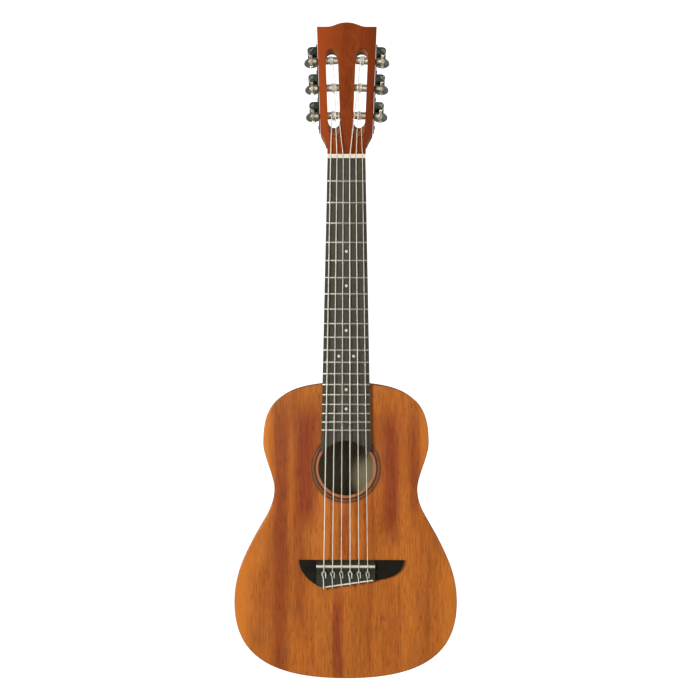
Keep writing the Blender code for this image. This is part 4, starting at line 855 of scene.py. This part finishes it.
def half_outline(inset):
    """The treble half from the top's middle to the tail's, moved inwards."""
    points = []
    for curve in OUTLINE_CURVES:
        for step in range(OUTLINE_STEPS + (curve is OUTLINE_CURVES[-1])):
            t = step / OUTLINE_STEPS
            along = curve_point(curve, min(t + 0.001, 1)) - curve_point(curve, max(t - 0.001, 0))
            along.normalize()
            points.append(curve_point(curve, t) + Vector((along.y, -along.x)) * inset)
    return points


def body_ring(inset, depth):
    half = half_outline(inset)
    treble = [Vector((point.x, depth, point.y)) for point in half]
    bass = [Vector((-point.x, depth, point.y)) for point in reversed(half[1:-1])]
    return treble + bass


def hole_ring(radius, depth):
    """A circle round the sound hole, with its points towards the outline's points."""
    ring = []
    for point in body_ring(0, 0):
        outward = (point - HOLE_CENTRE).normalized() * radius
        ring.append(Vector((HOLE_CENTRE.x + outward.x, depth, HOLE_CENTRE.z + outward.z)))
    return ring


def rounded_rim(face, inwards):
    """Rings over a plate's rounded outer edge, from its face to its side wall."""
    rings = [body_ring(RIM_RADIUS + 0.5 * MM, face)]
    for step in range(5):
        angle = math.pi / 2 * step / 4
        rings.append(body_ring(RIM_RADIUS * (1 - math.sin(angle)),
                               face + inwards * RIM_RADIUS * (1 - math.cos(angle))))
    return rings


# %% Soundboard, rosette, back and sides
TOP_FACE = 6.0 * MM
TOP_INSIDE = 8.2 * MM
BACK_INSIDE = 73.8 * MM
BACK_FACE = 76.0 * MM
RIM_RADIUS = 1.2 * MM
SIDE_THICKNESS = 2.0 * MM
SIDE_SEAM = 0.05 * MM
HOLE_RADIUS = 29.3 * MM
CHANNEL_DEPTH = 0.9 * MM
LIP_ROUNDING = ((0.0, 0.5), (0.06, 0.24), (0.22, 0.07), (0.5, 0.0), (0.9, 0.0))

rings = [hole_ring(HOLE_RADIUS, TOP_INSIDE)]
rings += [hole_ring(HOLE_RADIUS + out * MM, TOP_FACE + deep * MM) for out, deep in LIP_ROUNDING]
rings += [hole_ring(RING_INNER, TOP_FACE), hole_ring(RING_INNER, TOP_FACE + CHANNEL_DEPTH),
          hole_ring(RING_OUTER, TOP_FACE + CHANNEL_DEPTH), hole_ring(RING_OUTER, TOP_FACE)]
rings += rounded_rim(TOP_FACE, 1) + [body_ring(0, TOP_INSIDE)]
mesh = bmesh.new()
loft(mesh, rings, round_again=True)
finished("smooth_soundboard", mesh, top_wood, replaced="soundboard")

inner = RING_INNER + 0.02 * MM
outer = RING_OUTER - 0.02 * MM
mesh = bmesh.new()
loft(mesh, [hole_ring(inner, TOP_FACE + 0.85 * MM), hole_ring(inner, TOP_FACE - 0.02 * MM),
            hole_ring(outer, TOP_FACE - 0.02 * MM), hole_ring(outer, TOP_FACE + 0.85 * MM)], round_again=True)
finished("smooth_rosette", mesh, rosette_finish, replaced="rosette")

mesh = bmesh.new()
loft(mesh, rounded_rim(BACK_FACE, -1) + [body_ring(0, BACK_INSIDE)])
finished("smooth_back", mesh, back_wood, replaced="back")

for side, name in ((1, "treble"), (-1, "bass")):
    section = half_outline(0) + half_outline(SIDE_THICKNESS)[::-1]
    section = [Vector((side * max(point.x, SIDE_SEAM), point.y)) for point in section]
    mesh = bmesh.new()
    loft(mesh, [[Vector((point.x, depth, point.y)) for point in section]
                for depth in (TOP_INSIDE, BACK_INSIDE)])
    finished(f"smooth_side_{name}", mesh, side_wood, replaced=f"side_{name}")

# %% [markdown]
# ## Fret wires
#
# Frets are hammered-in wires with a round crown. Each is half an ellipse in section, so an
# elliptical rod sunk to its waist in the board does it: a cone with equal radii is a rod,
# scaled flat, and its end edges are bevelled as a luthier files them. Equal temperament
# gives each fret's place: every one shortens the string by the twelfth root of two.

# %% Frets
SCALE_LENGTH = 433 * MM
FRET_COUNT = 19
CROWN_WIDTH = 2.2 * MM
CROWN_HEIGHT = 1.12 * MM
BOARD_HALF_AT_NUT = 20.2 * MM
BOARD_HALF_AT_BODY = 25.0 * MM


def fret_place(number):
    return -SCALE_LENGTH * (1 - 2 ** (-number / 12))


def board_half_width(z):
    return BOARD_HALF_AT_NUT + (BOARD_HALF_AT_BODY - BOARD_HALF_AT_NUT) * z / BODY_TOP


along_x = Matrix.Rotation(math.pi / 2, 4, "Y")
for number in range(1, FRET_COUNT + 1):
    z = fret_place(number)
    mesh = bmesh.new()
    rod(mesh, Matrix.Translation((0, 0, z)) @ along_x, 2 * board_half_width(z), CROWN_WIDTH / 2,
        CROWN_HEIGHT, 16)
    ends = [edge for edge in mesh.edges if abs(edge.verts[0].co.x - edge.verts[1].co.x) < 0.1 * MM]
    bmesh.ops.bevel(mesh, geom=ends, offset=0.35 * MM, offset_type="OFFSET", segments=2, profile=0.5,
                    affect="EDGES", material=-1)
    finished(f"fret_{number}", mesh, nickel)
print("last fret at mm:", round(fret_place(FRET_COUNT) / MM, 1))

# %% [markdown]
# ## Position dots
#
# Small pearl discs mark the frets that players look for. They are short round rods let into
# the board between two frets, and the octave has two.

# %% Dots
DOT_RADIUS = 1.55 * MM
DOT_PROUD = 0.06 * MM
OCTAVE_DOT_AT = 15.6 * MM / 2
DOTS = {5: (0,), 7: (0,), 10: (0,), 12: (-OCTAVE_DOT_AT, OCTAVE_DOT_AT), 15: (0,), 17: (0,)}
for fret, places in DOTS.items():
    z = (fret_place(fret) + fret_place(fret - 1)) / 2
    for count, x in enumerate(places):
        mesh = bmesh.new()
        rod(mesh, Matrix.Translation((x, 0.5 * MM, z)) @ Matrix.Rotation(math.pi / 2, 4, "X"),
            1.0 * MM + 2 * DOT_PROUD, DOT_RADIUS, DOT_RADIUS, 24)
        finished(f"dot_{fret}_{count + 1}", mesh, pearl)

# %% [markdown]
# ## Axes of the tuning machines
#
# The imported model's joints say where each roller and each button turns. Their two axes give
# a frame for everything on a machine: across along the roller, behind along the button, and
# up the headstock's leaning side wall.

# %% Machine axes
joints = {joint["name"]: joint for joint in frame["joints"]}
NUMBERS = range(1, 7)


def machine_axes(place, number):
    """A frame at a joint's place: X across, Y up the side wall, Z to the back."""
    across = Vector(joints[f"roller_{number}_spin"]["axis"]).normalized()
    behind = Vector(joints[f"button_{number}_spin"]["axis"]).normalized()
    up = across.cross(behind)
    turn = Matrix((across, up, behind)).transposed().to_4x4()
    return Matrix.Translation(Vector(place)) @ turn


def side_of(number):
    return 1 if number <= 3 else -1


roller_axes = {number: machine_axes(joints[f"roller_{number}_spin"]["pos_m"], number) for number in NUMBERS}
knob_axes = {number: machine_axes(joints[f"button_{number}_spin"]["pos_m"], number) for number in NUMBERS}
print("first roller's axis:", [round(part, 4) for part in roller_axes[1].col[0]])

# %% [markdown]
# ## Strings
#
# Each string is one round tube on a route: knotted at the bridge, over saddle and nut, down
# into the slot and two and a half times round its roller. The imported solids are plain
# six-sided tubes, and these rounder ones stand for them on the same routes.

# %% String sizes
STRING_RADII = (0.35 * MM, 0.41 * MM, 0.51 * MM, 0.38 * MM, 0.45 * MM, 0.55 * MM)
SPACING_AT_NUT = 6.75 * MM
SPACING_AT_SADDLE = 9.27 * MM
RISE_AT_NUT = 1.25 * MM
REST_GAP = 0.3 * MM
BRIDGE_BOTTOM = 5.7 * MM
SADDLE_TOP = BRIDGE_BOTTOM - 10.6 * MM
TIE_FACE = BRIDGE_BOTTOM - 7.9 * MM
TIE_HOLE_Y = BRIDGE_BOTTOM - 5.2 * MM
TIE_FRONT = -SCALE_LENGTH - 7.8 * MM
TAIL_EDGE_BASS = Vector((-21.5, -455.4)) * MM
TAIL_EDGE_TREBLE = Vector((29.5, -448.1)) * MM
KNOT_GAP = 0.8 * MM
LOOP_REACH = 0.7
ROLLER_RADIUS = 4 * MM
ROLLER_SIDES = 12
SLOT_CENTRE = 14.85 * MM
WINDING_TURNS = 2.5
WINDING_GAP = 0.55 * MM
WINDING_POINTS = 24
MIDDLE_WINDING_SHIFT = 1.0 * MM
TUBE_ROUNDNESS = 4


# %% String routes
def tail_edge_z(x):
    """The tie block's slanting tail edge."""
    share = (x - TAIL_EDGE_BASS.x) / (TAIL_EDGE_TREBLE.x - TAIL_EDGE_BASS.x)
    return TAIL_EDGE_BASS.y + share * (TAIL_EDGE_TREBLE.y - TAIL_EDGE_BASS.y)


def winding_points(number, radius, crest):
    """Turns round the roller, from the front of the barrel and over its top."""
    side = side_of(number)
    reach = ROLLER_RADIUS / math.cos(math.pi / ROLLER_SIDES) + REST_GAP + radius
    pitch = 2 * radius + WINDING_GAP
    outward = -1 if number in (1, 6) else 1
    start_x = SLOT_CENTRE - outward * 0.5 * pitch * WINDING_TURNS
    if number in (3, 4):
        start_x += MIDDLE_WINDING_SHIFT
    place = roller_axes[number]
    nut = place.inverted() @ crest
    leave = Vector((nut.y, nut.z))
    first = math.atan2(leave.x, -leave.y) + math.acos(reach / leave.length)
    points = []
    for step in range(round(WINDING_TURNS * WINDING_POINTS) + 1):
        angle = first + 2 * math.pi * step / WINDING_POINTS
        x = start_x + outward * pitch * step / WINDING_POINTS
        points.append(place @ Vector((side * x, reach * math.sin(angle), -reach * math.cos(angle))))
    return points


def tie_points(x, radius, saddle):
    """The knot: over the tie block, round the standing string, back over and in from the tail side."""
    beside = 2 * radius + KNOT_GAP
    over = TIE_FACE - REST_GAP - radius - 0.15 * MM
    rear = tail_edge_z(x)
    mouth = Vector((x, TIE_HOLE_Y - 0.2 * MM, TIE_FRONT + REST_GAP))
    rise = (saddle.y - mouth.y) / (saddle.z - mouth.z)

    def standing(z):
        return mouth.y + rise * (z - mouth.z)

    under = beside * math.sqrt(1 + rise ** 2)
    near = TIE_FRONT + 1.5 * MM
    knot = [(x + beside, over, TIE_FRONT - 4.5 * MM), (x + beside, over, TIE_FRONT - 0.2 * MM),
            (x + beside, over + 0.35 * MM, TIE_FRONT + 0.75 * MM), (x + beside, standing(near), near),
            (x, standing(near + 0.7 * MM) + under, near + 0.7 * MM), (x - beside, standing(near), near),
            (x - beside, over + 0.35 * MM, TIE_FRONT + 0.75 * MM), (x - beside, over, TIE_FRONT - 0.2 * MM),
            (x - beside / 3, over, TIE_FRONT - 4 * MM), (x, over, rear + 0.6 * MM)]
    points = smooth_stations(knot, 4)
    turn_radius = (TIE_HOLE_Y - over) / 2
    for step in range(1, 12):
        angle = math.pi * step / 12
        points.append(Vector((x, over + turn_radius * (1 - math.cos(angle)),
                              rear - LOOP_REACH * turn_radius * math.sin(angle))))
    return points + [Vector((x, TIE_HOLE_Y, rear + 0.6 * MM)),
                     Vector((x, TIE_HOLE_Y, TIE_FRONT - 0.5 * MM)), mouth]


def make_string(number, radius):
    offset = 3.5 - number
    crest = Vector((offset * SPACING_AT_NUT, -RISE_AT_NUT - radius, 0.6 * MM))
    saddle = Vector((offset * SPACING_AT_SADDLE, SADDLE_TOP - REST_GAP - radius, -SCALE_LENGTH + 0.7 * MM))
    route = tie_points(saddle.x, radius, saddle) + [saddle - Vector((0, 0, 0.6 * MM)), saddle, crest]
    route += winding_points(number, radius, crest)
    curve = bpy.data.curves.new(f"round_string_{number}", "CURVE")
    curve.dimensions = "3D"
    curve.bevel_depth = radius
    curve.bevel_resolution = TUBE_ROUNDNESS
    curve.use_fill_caps = True
    curve.materials.append(nylon if number <= 3 else wound_wire)
    spline = curve.splines.new("POLY")
    spline.points.add(len(route) - 1)
    for point, place in zip(spline.points, route):
        point.co = (*place, 1)
    spline.use_smooth = True
    made = bpy.data.objects.new(f"round_string_{number}", curve)
    bpy.context.scene.collection.objects.link(made)
    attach(made, "instrument")
    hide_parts(f"string_{number}")


for number, radius in zip(NUMBERS, STRING_RADII):
    make_string(number, radius)

# %% [markdown]
# ## Cast knobs
#
# Each button is a casting that swells from a round neck to a flat oval. A smooth curve
# through a few stations gives its half widths, and each ring of the loft is an ellipse. The
# first rings go down the bore, so the shaft really enters the knob.

# %% Knobs
KNOB_FROM = 10.99 * MM
KNOB_LENGTH = 24 * MM
KNOB_SIDES = 32
BORE_RADIUS = 2.3 * MM
BORE_DEPTH = 7.5 * MM
# Each station: share of the length, half width across in mm, half thickness in mm
KNOB_STATIONS = ((0.0, 2.9, 2.9), (0.02, 3.3, 3.3), (0.06, 3.5, 3.4), (0.10, 3.3, 3.2), (0.14, 2.9, 2.9),
                 (0.24, 3.0, 2.9), (0.36, 3.8, 3.2), (0.50, 5.4, 4.0), (0.68, 7.4, 4.9), (0.82, 8.0, 5.2),
                 (0.90, 7.7, 4.9), (0.96, 6.6, 4.1), (0.99, 5.2, 3.0), (1.0, 3.6, 2.0))


def ellipse(across, deep, along):
    angles = [2 * math.pi * step / KNOB_SIDES for step in range(KNOB_SIDES)]
    return [Vector((across * math.cos(angle), deep * math.sin(angle), along)) for angle in angles]


for number in NUMBERS:
    rings = [ellipse(BORE_RADIUS, BORE_RADIUS, KNOB_FROM + BORE_DEPTH),
             ellipse(BORE_RADIUS, BORE_RADIUS, KNOB_FROM)]
    for share, across, deep in smooth_stations(KNOB_STATIONS, 3):
        rings.append(ellipse(across * MM, deep * MM, KNOB_FROM + share * KNOB_LENGTH))
    mesh = bmesh.new()
    loft(mesh, rings)
    bmesh.ops.transform(mesh, matrix=knob_axes[number], verts=mesh.verts)
    finished(f"cast_knob_{number}", mesh, chrome, f"knob_shaft_{number}",
             replaced=f"button_{number}", crisp=50)

# %% [markdown]
# ## Screws
#
# A slotted screw's head is a low dome with a groove. A profile spun round an axis makes the
# dome, two planes cut it on both sides of the groove, and a thin disc closes the bottom.
# Gears are held by the bigger screws, which turn with them, and plates by the small ones.

# %% Screws
def dome(mesh, radius, height, floor):
    """A low dome on the Z axis, from a floor up."""
    profile = [(0, floor), (radius, floor), (radius, 0.35 * height), (0.92 * radius, 0.62 * height),
               (0.7 * radius, 0.86 * height), (0.4 * radius, 0.97 * height), (0, height)]
    points = [mesh.verts.new((out, 0, along)) for out, along in profile]
    edges = [mesh.edges.new(pair) for pair in zip(points, points[1:])]
    bmesh.ops.spin(mesh, geom=points + edges, cent=(0, 0, 0), axis=(0, 0, 1), angle=2 * math.pi, steps=20,
                   use_merge=True)
    bmesh.ops.remove_doubles(mesh, verts=mesh.verts, dist=0.001 * MM)


def slotted_head(radius, height, groove):
    """Two halves of a dome beside a groove, and the disc under them, as one bmesh."""
    whole = bmesh.new()
    for side in (-1, 1):
        half = bmesh.new()
        dome(half, radius, height, 0)
        cut = bmesh.ops.bisect_plane(half, geom=half.verts[:] + half.edges[:] + half.faces[:],
                                     plane_co=(side * groove / 2, 0, 0), plane_no=(-side, 0, 0),
                                     clear_outer=True)
        rim = [item for item in cut["geom_cut"] if isinstance(item, bmesh.types.BMEdge)]
        bmesh.ops.holes_fill(half, edges=rim)
        data = bpy.data.meshes.new("half")
        half.to_mesh(data)
        half.free()
        whole.from_mesh(data)
        bpy.data.meshes.remove(data)
    dome(whole, 0.98 * radius, 0.3 * height, -0.05 * height)
    return whole


def add_screw(name, place, radius, height, turn, finish, body):
    mesh = slotted_head(radius, height, 0.28 * radius)
    bmesh.ops.transform(mesh, matrix=place @ Matrix.Rotation(turn, 4, "Z"), verts=mesh.verts)
    finished(name, mesh, finish, body, crisp=30)


SHANK_END = 39.15 * MM
PLATE_FACE = 31.32 * MM
PLATE_SCREWS_UP = (-44.4 * MM, -12.6 * MM, 18.7 * MM, 46.2 * MM)
for number in NUMBERS:
    side = side_of(number)
    outward = Matrix.Translation((side * SHANK_END, 0, 0)) @ Matrix.Rotation(side * math.pi / 2, 4, "Y")
    add_screw(f"gear_screw_{number}", roller_axes[number] @ outward, 2.5 * MM, 1.3 * MM, 0.5 + 0.7 * number,
              roller_metal, f"string_roller_{number}")
for middle_roller, plate in ((2, "treble"), (5, "bass")):
    side = side_of(middle_roller)
    for count, up in enumerate(PLATE_SCREWS_UP):
        outward = Matrix.Translation((side * PLATE_FACE, up, 0)) @ Matrix.Rotation(side * math.pi / 2, 4, "Y")
        add_screw(f"plate_screw_{plate}_{count + 1}", roller_axes[middle_roller] @ outward,
                  1.9 * MM, 0.9 * MM, 0.3 + 1.1 * count, roller_metal, "instrument")
